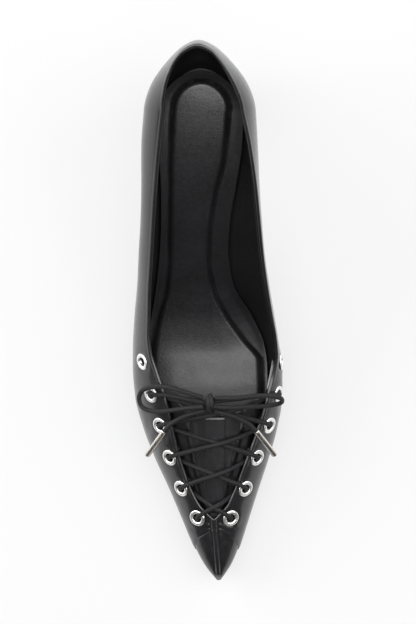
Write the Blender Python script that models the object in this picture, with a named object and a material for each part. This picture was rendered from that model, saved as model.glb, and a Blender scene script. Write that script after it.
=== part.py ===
"""Right-foot pointed lace-up pump on a slim heel, as an assembly of separate solids.

Sizes are in millimetres in the tables and become metres when a mesh is made.
A station is the distance from the toe tip towards the heel.  The toe points
along -Y, the medial side is +X, the lateral side is -X and the floor is Z = 0.
"""

import math
from collections import namedtuple

import bmesh
import bpy
from mathutils import Matrix, Vector

# Driving dimensions
MM = 0.001
SHOE_LENGTH = 257.0
BOX_CENTRE_X = 1.9
CLEARANCE = 0.3
LATERAL = -1
MEDIAL = 1

UPPER_WALL = 1.8
TOE_PIECE_STEP = 0.6
SEAM_RIDGE_HEIGHT = 0.9
SEAM_RIDGE_SHARE = 0.05
NOSE_FILL = 4.6
NOSE_FADE = 7.0
WIDEST_LEVEL = 0.3

TONGUE_THICKNESS = 1.3
TONGUE_MARGIN_DEG = 20.0
TONGUE_START = 29.0
TONGUE_THROAT = 82.0
TONGUE_CORNER = 110.0

SOLE_OVERHANG = 0.5
INSOLE_THICKNESS = 2.2
INSOLE_GAP = 0.45
INSOLE_NOSE_GAP = 0.7
PAD_HEIGHT = 1.4
PAD_GROOVE = 1.0
PAD_EDGE = 1.0
PAD_SHOULDER = 3.5
PAD_BORDER = 2.6
PAD_START = 40.0
PAD_FULL = 70.0

HEEL_CENTRE = 225.0
HEEL_TIP_HEIGHT = 3.6
HEEL_TIP_CHAMFER = 0.3
HEEL_SIDES = 24

EYELET_RADIUS = 4.0
EYELET_BORE_RADIUS = 2.2
EYELET_HEIGHT = 0.9
EYELET_BARREL_RADIUS = 2.6
EYELET_BARREL_DEPTH = 1.2
EYELET_SIDES = 10
PUNCHED_RADIUS = 2.95
PUNCH_DEPTH = 6.0

LACE_RADIUS = 1.1
LACE_SIDES = 8
CROSSING_STEPS = 7
CROSSING_END_HEIGHT = EYELET_HEIGHT + 2 * CLEARANCE + LACE_RADIUS + 0.45
BAR_HEIGHT = 2.2
LEG_STEPS = 4
AGLET_RADIUS = 1.35
AGLET_LENGTH = 17.5

# Bottom of the shoe: height of the tread and thickness of the outsole
SoleRow = namedtuple("SoleRow", "station tread thickness")
SOLE = [
    SoleRow(0, 7.5, 2.5),
    SoleRow(10, 5.4, 2.8),
    SoleRow(20, 3.5, 3.0),
    SoleRow(35, 1.3, 3.0),
    SoleRow(50, 0.25, 3.0),
    SoleRow(60, 0.0, 3.0),
    SoleRow(98, 0.0, 3.0),
    SoleRow(110, 0.9, 3.0),
    SoleRow(125, 5.0, 2.8),
    SoleRow(140, 12.6, 2.6),
    SoleRow(155, 22.6, 2.6),
    SoleRow(170, 33.6, 2.6),
    SoleRow(185, 44.2, 2.6),
    SoleRow(200, 53.0, 2.6),
    SoleRow(215, 59.6, 2.6),
    SoleRow(230, 64.4, 2.6),
    SoleRow(245, 68.2, 2.6),
    SoleRow(260, 71.4, 2.6),
]

# Last: where each side meets the sole, and where it is widest and how high that is
LastRow = namedtuple(
    "LastRow",
    "station lateral_foot medial_foot lateral_wide medial_wide lateral_wide_z medial_wide_z",
)
LAST = [
    LastRow(0, 6.5, 6.5, 6.5, 6.5, 12.5, 12.5),
    LastRow(2, 6.3, 6.5, 4.8, 8.2, 12.5, 12.5),
    LastRow(5, 3.5, 9.0, 2.1, 10.4, 12.5, 12.5),
    LastRow(10, -0.1, 12.1, -1.5, 13.5, 12.3, 12.3),
    LastRow(18, -4.2, 15.3, -5.7, 16.8, 12.0, 12.0),
    LastRow(31, -9.4, 19.2, -11.2, 21.0, 11.8, 12.2),
    LastRow(46, -15.5, 23.6, -17.5, 25.8, 12.3, 13.4),
    LastRow(60, -21.4, 27.9, -23.9, 30.4, 13.2, 15.2),
    LastRow(75, -26.6, 31.0, -29.6, 34.6, 14.6, 18.0),
    LastRow(90, -30.2, 32.2, -33.5, 37.1, 16.4, 21.6),
    LastRow(105, -31.0, 31.8, -34.6, 37.3, 18.6, 26.0),
    LastRow(115, -30.4, 30.4, -34.4, 35.9, 21.0, 29.5),
    LastRow(130, -27.9, 24.0, -33.2, 33.6, 28.0, 36.0),
    LastRow(145, -25.2, 15.6, -31.4, 31.2, 37.0, 44.0),
    LastRow(160, -23.2, 13.6, -30.2, 29.2, 46.5, 53.0),
    LastRow(175, -22.0, 14.8, -28.8, 28.1, 56.5, 62.0),
    LastRow(190, -21.6, 17.6, -27.9, 27.2, 66.0, 71.0),
    LastRow(210, -22.0, 20.9, -27.2, 26.5, 77.5, 80.5),
    LastRow(225, -21.8, 21.8, -25.7, 25.7, 84.5, 86.0),
]

# Centre line of the vamp, and the height of the closed vamp over it
CrownRow = namedtuple("CrownRow", "station x z")
CROWN = [
    CrownRow(0, 6.5, 14.5),
    CrownRow(4, 6.4, 17.2),
    CrownRow(10, 6.1, 20.0),
    CrownRow(20, 5.4, 23.4),
    CrownRow(32, 4.6, 27.2),
    CrownRow(46, 4.8, 31.6),
    CrownRow(60, 5.2, 36.0),
    CrownRow(75, 5.4, 40.6),
    CrownRow(90, 5.4, 45.2),
    CrownRow(105, 5.0, 49.6),
    CrownRow(120, 4.0, 54.0),
    CrownRow(150, 1.5, 62.0),
    CrownRow(175, 0.3, 70.0),
    CrownRow(200, 0.0, 80.0),
    CrownRow(225, 0.0, 90.0),
]

# Edge of the opening: down both sides of the lacing throat, then along the collar
EdgeRow = namedtuple("EdgeRow", "station lateral medial")
V_BASE = 32.5
EDGE = [
    EdgeRow(32.5, 4.6, 4.6),
    EdgeRow(39, -2.0, 10.8),
    EdgeRow(46, -5.9, 14.4),
    EdgeRow(55, -9.4, 18.0),
    EdgeRow(65, -12.4, 21.8),
    EdgeRow(75, -14.7, 25.6),
    EdgeRow(85, -16.8, 28.8),
    EdgeRow(95, -19.3, 31.6),
    EdgeRow(104, -22.4, 33.9),
    EdgeRow(112, -25.0, 34.9),
    EdgeRow(120, -25.9, 34.0),
    EdgeRow(130, -25.5, 32.0),
    EdgeRow(142, -25.0, 30.0),
    EdgeRow(155, -24.2, 28.2),
    EdgeRow(170, -23.2, 27.0),
    EdgeRow(190, -21.8, 25.2),
    EdgeRow(210, -19.7, 22.9),
    EdgeRow(225, -17.8, 20.0),
]

# Height of the collar behind the throat
CollarRow = namedtuple("CollarRow", "station lateral_z medial_z")
THROAT_BLEND = (94.0, 114.0)
COLLAR = [
    CollarRow(94, 37.5, 36.0),
    CollarRow(112, 41.5, 40.5),
    CollarRow(125, 45.0, 46.0),
    CollarRow(140, 51.0, 53.0),
    CollarRow(155, 58.5, 61.5),
    CollarRow(170, 67.5, 71.0),
    CollarRow(185, 77.0, 80.5),
    CollarRow(200, 88.0, 90.5),
    CollarRow(215, 98.5, 100.0),
    CollarRow(225, 104.5, 105.5),
]

# Counter: radii and heights around the heel centre, from lateral (-90) to medial (90)
CounterRow = namedtuple("CounterRow", "angle foot wide wide_z edge edge_z")
COUNTER = [
    CounterRow(-90, 21.8, 25.7, 84.5, 17.8, 104.5),
    CounterRow(-68, 21.4, 25.2, 86.5, 18.3, 108.6),
    CounterRow(-52, 21.1, 25.4, 88.5, 19.4, 111.8),
    CounterRow(-38, 21.0, 26.2, 90.2, 21.4, 114.4),
    CounterRow(-25, 21.2, 27.9, 91.4, 24.3, 116.4),
    CounterRow(-12, 21.8, 30.4, 92.1, 27.4, 117.7),
    CounterRow(0, 22.1, 32.0, 92.4, 28.8, 118.2),
    CounterRow(12, 21.8, 30.4, 92.2, 27.4, 117.8),
    CounterRow(25, 21.2, 27.9, 91.8, 24.4, 116.6),
    CounterRow(38, 21.0, 26.2, 90.8, 21.8, 114.8),
    CounterRow(52, 21.1, 25.4, 89.5, 20.2, 112.3),
    CounterRow(68, 21.4, 25.2, 87.8, 19.6, 109.4),
    CounterRow(90, 21.8, 25.7, 86.0, 20.0, 105.5),
]

# Columns of the upper's mesh near the toe lean back from the sole to the ridge,
# so that one of them runs along the front edge of the wings
LeanRow = namedtuple("LeanRow", "foot wide edge is_toe_piece")
TIP_COLUMN = LeanRow(2.4, 0.0, 4.0, True)
CLOSED_COLUMNS = [
    LeanRow(3.4, 1.2, 5.6, True),
    LeanRow(5.0, 3.0, 8.0, True),
    LeanRow(8.0, 6.4, 12.5, True),
    LeanRow(12.0, 11.2, 20.0, True),
    LeanRow(16.0, 16.0, 27.0, True),
    LeanRow(16.4, 16.4, 27.4, False),
    LeanRow(20.0, 20.4, 30.0, False),
    LeanRow(24.0, 25.0, V_BASE, False),
]
THROAT_COLUMNS = [
    LeanRow(28.5, 29.5, 36.0, False),
    LeanRow(33.5, 34.5, 40.0, False),
    LeanRow(39.0, 40.0, 44.5, False),
    LeanRow(45.0, 45.8, 49.5, False),
    LeanRow(51.0, 51.5, 54.5, False),
]
STRAIGHT_STATIONS = [
    60, 66, 72, 79, 86, 92, 98, 105, 112, 118, 126, 135, 145, 155, 165, 176, 187, 198, 208, 217,
    HEEL_CENTRE,
]
COUNTER_ANGLES = [-78, -66, -54, -43, -33, -23, -14, -6, 0, 6, 14, 23, 33, 43, 54, 66, 78]
UPPER_LEVELS = [0.0, 0.15, WIDEST_LEVEL, 0.41, 0.52, 0.64, 0.76, 0.87, 0.95, 1.0]

# Raised cushion of the insole
PadRow = namedtuple("PadRow", "station lateral medial")
PAD = [
    PadRow(10, 4.0, 8.0),
    PadRow(30, -5.0, 14.5),
    PadRow(60, -18.0, 23.0),
    PadRow(90, -26.0, 28.5),
    PadRow(105, -26.5, 28.0),
    PadRow(118, -24.5, 24.0),
    PadRow(130, -21.0, 14.0),
    PadRow(142, -17.0, 5.5),
    PadRow(155, -14.5, 2.5),
    PadRow(170, -14.0, 3.5),
    PadRow(185, -14.6, 6.0),
    PadRow(205, -14.6, 11.0),
    PadRow(225, -13.5, 13.0),
]
PAD_BACK_RADIUS = 12.4

# Heel: sections from the seat down to the top piece
HeelRow = namedtuple("HeelRow", "height front back half_width slope")
HEEL_SEAT = HeelRow(0.0, 205.0, 246.4, 20.4, 0.0)
HEEL = [
    HeelRow(57.5, 208.5, 246.4, 18.4, 0.24),
    HeelRow(50.5, 215.0, 246.0, 14.8, 0.18),
    HeelRow(41.0, 221.5, 245.0, 11.4, 0.08),
    HeelRow(29.0, 226.2, 243.8, 8.8, 0.0),
    HeelRow(16.0, 228.6, 243.0, 7.3, 0.0),
    HeelRow(HEEL_TIP_HEIGHT + CLEARANCE, 229.6, 242.8, 6.5, 0.0),
]

# Lace: free lengths of the bow, as x, station, height
BOW_KNOT = (3.2, 89.6, 48.8)
BOW_KNOT_SIZE = (2.6, 4.4, 2.7)
LOOP_LATERAL = [
    (0.2, 91.9, 49.4), (-3.5, 93.0, 50.2), (-8.8, 94.7, 50.2), (-14.1, 96.3, 48.6),
    (-19.5, 96.8, 45.4), (-25.2, 96.0, 39.8), (-29.6, 93.2, 34.6), (-30.0, 89.0, 33.6),
    (-27.2, 86.0, 36.4), (-22.4, 84.9, 40.8), (-16.8, 85.3, 44.8), (-10.6, 86.4, 47.6),
    (-4.4, 87.2, 49.2), (0.2, 87.6, 49.6),
]
LOOP_MEDIAL = [
    (6.2, 91.6, 49.6), (9.5, 91.6, 50.6), (15.4, 91.4, 51.2), (22.3, 92.2, 49.6),
    (29.0, 93.2, 46.0), (34.4, 93.2, 41.6), (37.8, 91.0, 38.6), (36.8, 88.3, 39.0),
    (32.0, 87.6, 42.2), (26.0, 87.4, 45.4), (18.5, 87.2, 48.2), (11.0, 87.2, 49.6),
    (6.2, 87.6, 49.6),
]
END_LATERAL = [
    (1.0, 85.6, 47.6), (-2.6, 84.8, 47.4), (-7.2, 83.4, 46.4), (-11.5, 81.4, 44.4),
    (-15.6, 78.6, 42.6), (-18.4, 75.4, 41.0),
]
END_MEDIAL = [
    (5.6, 85.4, 47.6), (8.8, 84.6, 47.6), (13.0, 83.4, 46.8), (17.6, 81.4, 45.2),
    (21.8, 78.8, 43.2), (25.0, 75.6, 41.4),
]
AGLET_LATERAL_TIP = (-27.6, 62.6, 32.0)
AGLET_MEDIAL_TIP = (33.8, 63.6, 33.0)

# Eyelets: station, and distance from the throat's edge along the surface
EyeletRow = namedtuple("EyeletRow", "name station inset")
EYELETS = [
    EyeletRow("1", 108.0, 8.0),
    EyeletRow("2", 92.5, 8.0),
    EyeletRow("3", 77.5, 6.8),
    EyeletRow("4", 62.0, 6.0),
    EyeletRow("5", 47.0, 5.8),
    EyeletRow("6", 32.8, 8.0),
]

# Crossings: the eyelets they join, and how high the cord runs over the vamp's middle
CrossingRow = namedtuple("CrossingRow", "low high middle_height")
CROSSINGS = [
    CrossingRow("6", "5", 1.4),
    CrossingRow("5", "4", 1.0),
    CrossingRow("4", "3", 0.8),
    CrossingRow("3", "2", 0.2),
]


class Profile:
    """Smooth curve through the rows of a table that never overshoots them."""

    def __init__(self, rows, key, value):
        self.keys = [float(row._asdict()[key]) for row in rows]
        self.values = [float(row._asdict()[value]) for row in rows]
        steps = []
        for i in range(len(self.keys) - 1):
            steps.append((self.values[i + 1] - self.values[i]) / (self.keys[i + 1] - self.keys[i]))
        self.slopes = [steps[0]]
        for before, after in zip(steps, steps[1:]):
            flat = before * after <= 0
            self.slopes.append(0.0 if flat else 2 * before * after / (before + after))
        self.slopes.append(steps[-1])

    def at(self, key):
        """Return the value at a key, held at the ends of the table."""
        keys = self.keys
        if key <= keys[0]:
            return self.values[0]
        if key >= keys[-1]:
            return self.values[-1]
        i = 0
        while keys[i + 1] < key:
            i += 1
        width = keys[i + 1] - keys[i]
        s = (key - keys[i]) / width
        start = (1 + 2 * s) * (1 - s) ** 2 * self.values[i]
        end = s * s * (3 - 2 * s) * self.values[i + 1]
        start_bend = s * (1 - s) ** 2 * width * self.slopes[i]
        end_bend = s * s * (s - 1) * width * self.slopes[i + 1]
        return start + end + start_bend + end_bend


TREAD = Profile(SOLE, "station", "tread")
SOLE_THICKNESS = Profile(SOLE, "station", "thickness")
CENTRE_X = Profile(CROWN, "station", "x")
CROWN_Z = Profile(CROWN, "station", "z")
FOOT_X = {
    LATERAL: Profile(LAST, "station", "lateral_foot"),
    MEDIAL: Profile(LAST, "station", "medial_foot"),
}
WIDE_X = {
    LATERAL: Profile(LAST, "station", "lateral_wide"),
    MEDIAL: Profile(LAST, "station", "medial_wide"),
}
WIDE_Z = {
    LATERAL: Profile(LAST, "station", "lateral_wide_z"),
    MEDIAL: Profile(LAST, "station", "medial_wide_z"),
}
EDGE_X = {LATERAL: Profile(EDGE, "station", "lateral"), MEDIAL: Profile(EDGE, "station", "medial")}
COLLAR_Z = {
    LATERAL: Profile(COLLAR, "station", "lateral_z"),
    MEDIAL: Profile(COLLAR, "station", "medial_z"),
}
PAD_X = {LATERAL: Profile(PAD, "station", "lateral"), MEDIAL: Profile(PAD, "station", "medial")}
COUNTER_FOOT = Profile(COUNTER, "angle", "foot")
COUNTER_WIDE = Profile(COUNTER, "angle", "wide")
COUNTER_WIDE_Z = Profile(COUNTER, "angle", "wide_z")
COUNTER_EDGE = Profile(COUNTER, "angle", "edge")
COUNTER_EDGE_Z = Profile(COUNTER, "angle", "edge_z")

# A section of the last: an upright slice that starts on the centre line
Section = namedtuple("Section", "x station dx dy wide wide_z foot_angle fall edge_angle rise arch")
Column = namedtuple("Column", "side lean angle")


def mix(a, b, share):
    """Return the value a share of the way from a to b."""
    return a + (b - a) * share


def ease(value, start, end):
    """Return 0 before start, 1 after end, and a smooth step between them."""
    share = min(1.0, max(0.0, (value - start) / (end - start)))
    return share * share * (3 - 2 * share)


def foot_height(station):
    """Return the height of the sole's upper face."""
    return TREAD.at(station) + SOLE_THICKNESS.at(station)


def side_section(side, station):
    """Return the lateral or medial half of the slice at a station."""
    centre = CENTRE_X.at(station)
    wide = max(0.05, side * (WIDE_X[side].at(station) - centre))
    foot = max(0.02, side * (FOOT_X[side].at(station) - centre))
    wide_z = WIDE_Z[side].at(station)
    foot_angle = math.acos(min(0.999, foot / wide))
    fall = (wide_z - foot_height(station)) / math.sin(foot_angle)
    arch = CROWN_Z.at(station) - wide_z
    edge_angle = math.pi / 2
    rise = arch
    if station > V_BASE:
        edge = side * (EDGE_X[side].at(station) - centre)
        edge_angle = math.acos(min(0.995, edge / wide))
        collar = (COLLAR_Z[side].at(station) - wide_z) / math.sin(edge_angle)
        rise = mix(arch, collar, ease(station, *THROAT_BLEND))
    return Section(centre, station, side, 0.0, wide, wide_z, foot_angle, fall, edge_angle, rise, arch)


def counter_section(angle):
    """Return the slice that stands at an angle around the heel's centre."""
    wide = COUNTER_WIDE.at(angle)
    wide_z = COUNTER_WIDE_Z.at(angle)
    turn = math.radians(angle)
    foot_station = HEEL_CENTRE + COUNTER_FOOT.at(angle) * math.cos(turn)
    foot_angle = math.acos(COUNTER_FOOT.at(angle) / wide)
    fall = (wide_z - foot_height(foot_station)) / math.sin(foot_angle)
    edge_angle = math.acos(COUNTER_EDGE.at(angle) / wide)
    rise = (COUNTER_EDGE_Z.at(angle) - wide_z) / math.sin(edge_angle)
    return Section(
        0.0, HEEL_CENTRE, math.sin(turn), math.cos(turn), wide, wide_z,
        foot_angle, fall, edge_angle, rise, rise,
    )


def section_point(section, angle, inset, rise=None):
    """Return a point of a slice: 0 is its widest place and a quarter turn is its crown."""
    rise = section.rise if rise is None else rise
    if angle >= 0:
        reach = (section.wide - inset) * math.cos(angle)
        height = section.wide_z + (rise - inset) * math.sin(angle)
    else:
        reach = section.wide * math.cos(angle) - inset
        height = section.wide_z + section.fall * math.sin(angle)
    reach = max(reach, 0.0)
    return Vector((section.x + section.dx * reach, section.station + section.dy * reach, height))


def level_angle(section, level):
    """Return the angle on a slice of a level that runs from 0 at the sole to 1 at the edge."""
    if level < WIDEST_LEVEL:
        return -section.foot_angle * (1 - level / WIDEST_LEVEL)
    return section.edge_angle * (level - WIDEST_LEVEL) / (1 - WIDEST_LEVEL)


def lean_station(lean, level):
    """Return the station of a leaning column at a level."""
    if level < WIDEST_LEVEL:
        return mix(lean.foot, lean.wide, level / WIDEST_LEVEL)
    return mix(lean.wide, lean.edge, (level - WIDEST_LEVEL) / (1 - WIDEST_LEVEL))


def column_point(column, level, depth):
    """Return a point of the upper: depth 0 is its outer face and the wall is its lining."""
    if column.lean is None:
        section = counter_section(column.angle)
        return section_point(section, level_angle(section, level), depth)
    station = lean_station(column.lean, level)
    station += NOSE_FILL * math.exp(-station / NOSE_FADE) * depth / UPPER_WALL
    inset = max(depth, TOE_PIECE_STEP) if column.lean.is_toe_piece else depth
    section = side_section(column.side or LATERAL, station)
    point = section_point(section, level_angle(section, level), inset)
    closed = column.lean.edge <= V_BASE
    if column.side == 0 or (closed and level == 1.0):
        point.x = CENTRE_X.at(station)
    if closed and depth == 0:
        point.z += SEAM_RIDGE_HEIGHT * max(0.0, 1 - (1 - level) / SEAM_RIDGE_SHARE) ** 2
    return point


def upper_columns():
    """Return the columns of the upper in order: tip, lateral side, counter, medial side."""
    side_leans = CLOSED_COLUMNS + THROAT_COLUMNS
    side_leans += [LeanRow(station, station, station, False) for station in STRAIGHT_STATIONS]
    columns = [Column(0, TIP_COLUMN, None)]
    columns += [Column(LATERAL, lean, None) for lean in side_leans]
    columns += [Column(0, None, angle) for angle in COUNTER_ANGLES]
    columns += [Column(MEDIAL, lean, None) for lean in reversed(side_leans)]
    return columns


def metres(point):
    """Return a table point, x, station and height in millimetres, as a place in metres."""
    return Vector(((point[0] - BOX_CENTRE_X) * MM, (point[1] - SHOE_LENGTH / 2) * MM, point[2] * MM))


def make_material(name, colour, roughness, metallic=0.0):
    """Return a Principled material."""
    material = bpy.data.materials.new(name)
    material.use_nodes = True
    shader = material.node_tree.nodes["Principled BSDF"]
    shader.inputs["Base Color"].default_value = (*colour, 1.0)
    shader.inputs["Roughness"].default_value = roughness
    shader.inputs["Metallic"].default_value = metallic
    return material


def add_mesh(name, mesh_builder, material, sharp_degrees=35.0):
    """Turn a bmesh into an object with outward faces and smooth shading."""
    bmesh.ops.remove_doubles(mesh_builder, verts=mesh_builder.verts, dist=1e-7)
    bmesh.ops.recalc_face_normals(mesh_builder, faces=mesh_builder.faces)
    mesh = bpy.data.meshes.new(name)
    mesh_builder.to_mesh(mesh)
    mesh_builder.free()
    mesh.shade_smooth()
    mesh.set_sharp_from_angle(angle=math.radians(sharp_degrees))
    mesh.materials.append(material)
    placed = bpy.data.objects.new(name, mesh)
    bpy.context.scene.collection.objects.link(placed)
    return placed


def add_faces(mesh_builder, first_row, second_row):
    """Join two rows of vertices with quads, or with triangles where two corners are one."""
    for i in range(len(first_row) - 1):
        corners = [first_row[i], first_row[i + 1], second_row[i + 1], second_row[i]]
        places = []
        for corner in corners:
            if all((corner.co - other.co).length > 1e-7 for other in places):
                places.append(corner)
        if len(places) >= 3:
            mesh_builder.faces.new(places)


def rows_of_vertices(mesh_builder, rows):
    """Make a vertex in metres for each point of each row."""
    return [[mesh_builder.verts.new(metres(point)) for point in row] for row in rows]


def build_upper(material):
    """Build the upper: one hollow wall, open at the throat, the collar and underneath."""
    columns = upper_columns()
    columns.append(columns[0])
    mesh_builder = bmesh.new()
    outer, inner = [
        rows_of_vertices(
            mesh_builder, [[column_point(column, v, depth) for v in UPPER_LEVELS] for column in columns]
        )
        for depth in (0.0, UPPER_WALL)
    ]
    for i in range(len(columns) - 1):
        add_faces(mesh_builder, outer[i], outer[i + 1])
        add_faces(mesh_builder, inner[i], inner[i + 1])
        add_faces(mesh_builder, [outer[i][0], outer[i + 1][0]], [inner[i][0], inner[i + 1][0]])
        is_open = [c.lean is None or c.lean.edge > V_BASE for c in columns[i:i + 2]]
        if any(is_open):
            add_faces(mesh_builder, [outer[i][-1], outer[i + 1][-1]], [inner[i][-1], inner[i + 1][-1]])
    upper = add_mesh("upper", mesh_builder, material)
    cutter = build_punches()
    punch = upper.modifiers.new("eyelet holes", "BOOLEAN")
    punch.operation = "DIFFERENCE"
    punch.solver = "EXACT"
    punch.object = cutter
    return upper


def surface_normal(side, station, angle):
    """Return the outward direction of the upper's outer face."""
    here = section_point(side_section(side, station), angle, 0.0)
    ahead = section_point(side_section(side, station + 0.5), angle, 0.0)
    higher = section_point(side_section(side, station), angle + 0.02, 0.0)
    normal = (ahead - here).cross(higher - here).normalized()
    return normal if normal.x * side > 0 or normal.z > 0.7 else -normal


def eyelet_seat(side, row):
    """Return the angle, the place and the outward direction of an eyelet on the upper."""
    section = side_section(side, row.station)
    angle = section.edge_angle
    place = section_point(section, angle, 0.0)
    travelled = 0.0
    while travelled < row.inset:
        angle -= 0.005
        following = section_point(section, angle, 0.0)
        travelled += (following - place).length
        place = following
    return angle, place, surface_normal(side, row.station, angle)


def turn_to(normal, place):
    """Return the matrix that stands +Z along a direction at a place in metres."""
    return Matrix.Translation(metres(place)) @ normal.to_track_quat("Z", "Y").to_matrix().to_4x4()


def turned_rings(mesh_builder, profile, sides, matrix):
    """Turn a closed profile of radius and height, in millimetres, around +Z."""
    rings = []
    for k in range(sides + 1):
        turn = 2 * math.pi * k / sides
        ring = []
        for radius, height in profile + profile[:1]:
            spot = Vector((radius * math.cos(turn), radius * math.sin(turn), height)) * MM
            ring.append(mesh_builder.verts.new(matrix @ spot))
        rings.append(ring)
    for first, second in zip(rings, rings[1:]):
        add_faces(mesh_builder, first, second)


def build_punches():
    """Build the cutter that punches the eyelet holes."""
    mesh_builder = bmesh.new()
    for side in (LATERAL, MEDIAL):
        for row in EYELETS:
            _, place, normal = eyelet_seat(side, row)
            bmesh.ops.create_cone(
                mesh_builder, cap_ends=True, segments=EYELET_SIDES, radius1=PUNCHED_RADIUS * MM,
                radius2=PUNCHED_RADIUS * MM, depth=PUNCH_DEPTH * MM, matrix=turn_to(normal, place),
            )
    cutter = add_mesh("punches", mesh_builder, make_material("punch", (0.8, 0.1, 0.1), 0.5))
    cutter.hide_render = True
    cutter.display_type = "WIRE"
    return cutter


def build_eyelets(material):
    """Build a domed ring with its barrel for each hole."""
    profile = [
        (EYELET_BORE_RADIUS, -EYELET_BARREL_DEPTH),
        (EYELET_BORE_RADIUS, EYELET_HEIGHT * 0.6),
        ((EYELET_BORE_RADIUS + EYELET_RADIUS) / 2, EYELET_HEIGHT),
        (EYELET_RADIUS, 0.0),
        (EYELET_BARREL_RADIUS, 0.0),
        (EYELET_BARREL_RADIUS, -EYELET_BARREL_DEPTH),
    ]
    for side, side_name in ((LATERAL, "lateral"), (MEDIAL, "medial")):
        for row in EYELETS:
            _, place, normal = eyelet_seat(side, row)
            mesh_builder = bmesh.new()
            matrix = turn_to(normal, place + normal * CLEARANCE)
            turned_rings(mesh_builder, profile, EYELET_SIDES, matrix)
            add_mesh(f"eyelet_{side_name}_{row.name}", mesh_builder, material)


def tongue_place(station, across):
    """Return the slice and the angle at a share across the tongue, from -1 to 1."""
    side = LATERAL if across < 0 else MEDIAL
    section = side_section(side, station)
    hidden = section.edge_angle - math.radians(TONGUE_MARGIN_DEG)
    return section, mix(math.pi / 2, hidden, abs(across))


def build_tongue(material):
    """Build the panel under the lacing, with its U-shaped throat."""
    across_shares = [-1, -0.85, -0.7, -0.55, -0.4, -0.25, -0.1, 0, 0.1, 0.25, 0.4, 0.55, 0.7, 0.85, 1]
    along_shares = [i / 14 for i in range(15)]
    faces_in_rows = []
    for inset in (UPPER_WALL + CLEARANCE, UPPER_WALL + CLEARANCE + TONGUE_THICKNESS):
        rows = []
        for across in across_shares:
            top = mix(TONGUE_THROAT, TONGUE_CORNER, abs(across) ** 3)
            row = []
            for along in along_shares:
                station = mix(TONGUE_START, top, along)
                section, angle = tongue_place(station, across)
                row.append(section_point(section, angle, inset, section.arch))
            rows.append(row)
        faces_in_rows.append(rows)
    mesh_builder = bmesh.new()
    outer, inner = [rows_of_vertices(mesh_builder, rows) for rows in faces_in_rows]
    for grid in (outer, inner):
        for first, second in zip(grid, grid[1:]):
            add_faces(mesh_builder, first, second)
    for end in (0, -1):
        add_faces(mesh_builder, outer[end], inner[end])
        add_faces(mesh_builder, [row[end] for row in outer], [row[end] for row in inner])
    return add_mesh("tongue", mesh_builder, material)


def plate_rows(column, shrink, nose_shift):
    """Return the edge and the spine of a plate at one column of the upper."""
    if column.lean is None:
        turn = math.radians(column.angle)
        radius = COUNTER_FOOT.at(column.angle) - shrink
        edge = (radius * math.sin(turn), HEEL_CENTRE + radius * math.cos(turn))
        return edge, (0.0, HEEL_CENTRE)
    spine_lean = CLOSED_COLUMNS[0] if column.side == 0 else column.lean
    station = column.lean.foot + nose_shift * math.exp(-column.lean.foot / NOSE_FADE)
    spine_station = spine_lean.foot + nose_shift * math.exp(-spine_lean.foot / NOSE_FADE)
    middle = CENTRE_X.at(spine_station)
    if column.side == 0:
        return (middle, station - max(0.0, -shrink)), (middle, spine_station)
    foot = FOOT_X[column.side].at(station) - column.side * shrink
    return (foot, station), (middle, station)


def build_outsole(material):
    """Build the outsole, flat under the ball, sprung at the toe and arched at the waist."""
    columns = upper_columns()
    columns.append(columns[0])
    shares = [1.0, 0.5, 0.0]
    top_rows = []
    bottom_rows = []
    for column in columns:
        edge, spine = plate_rows(column, -SOLE_OVERHANG, 0.0)
        low_edge, _ = plate_rows(column, SOLE_OVERHANG, 0.0)
        top_row = []
        bottom_row = []
        for share in shares:
            x, station = mix(spine[0], edge[0], share), mix(spine[1], edge[1], share)
            top_row.append((x, station, foot_height(station) - CLEARANCE))
            x, station = mix(spine[0], low_edge[0], share), mix(spine[1], low_edge[1], share)
            bottom_row.append((x, station, TREAD.at(station)))
        top_rows.append(top_row)
        bottom_rows.append(bottom_row)
    mesh_builder = bmesh.new()
    top = rows_of_vertices(mesh_builder, top_rows)
    bottom = rows_of_vertices(mesh_builder, bottom_rows)
    for i in range(len(columns) - 1):
        add_faces(mesh_builder, top[i], top[i + 1])
        add_faces(mesh_builder, bottom[i], bottom[i + 1])
        add_faces(mesh_builder, [top[i][0], top[i + 1][0]], [bottom[i][0], bottom[i + 1][0]])
    return add_mesh("outsole", mesh_builder, material)


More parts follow.
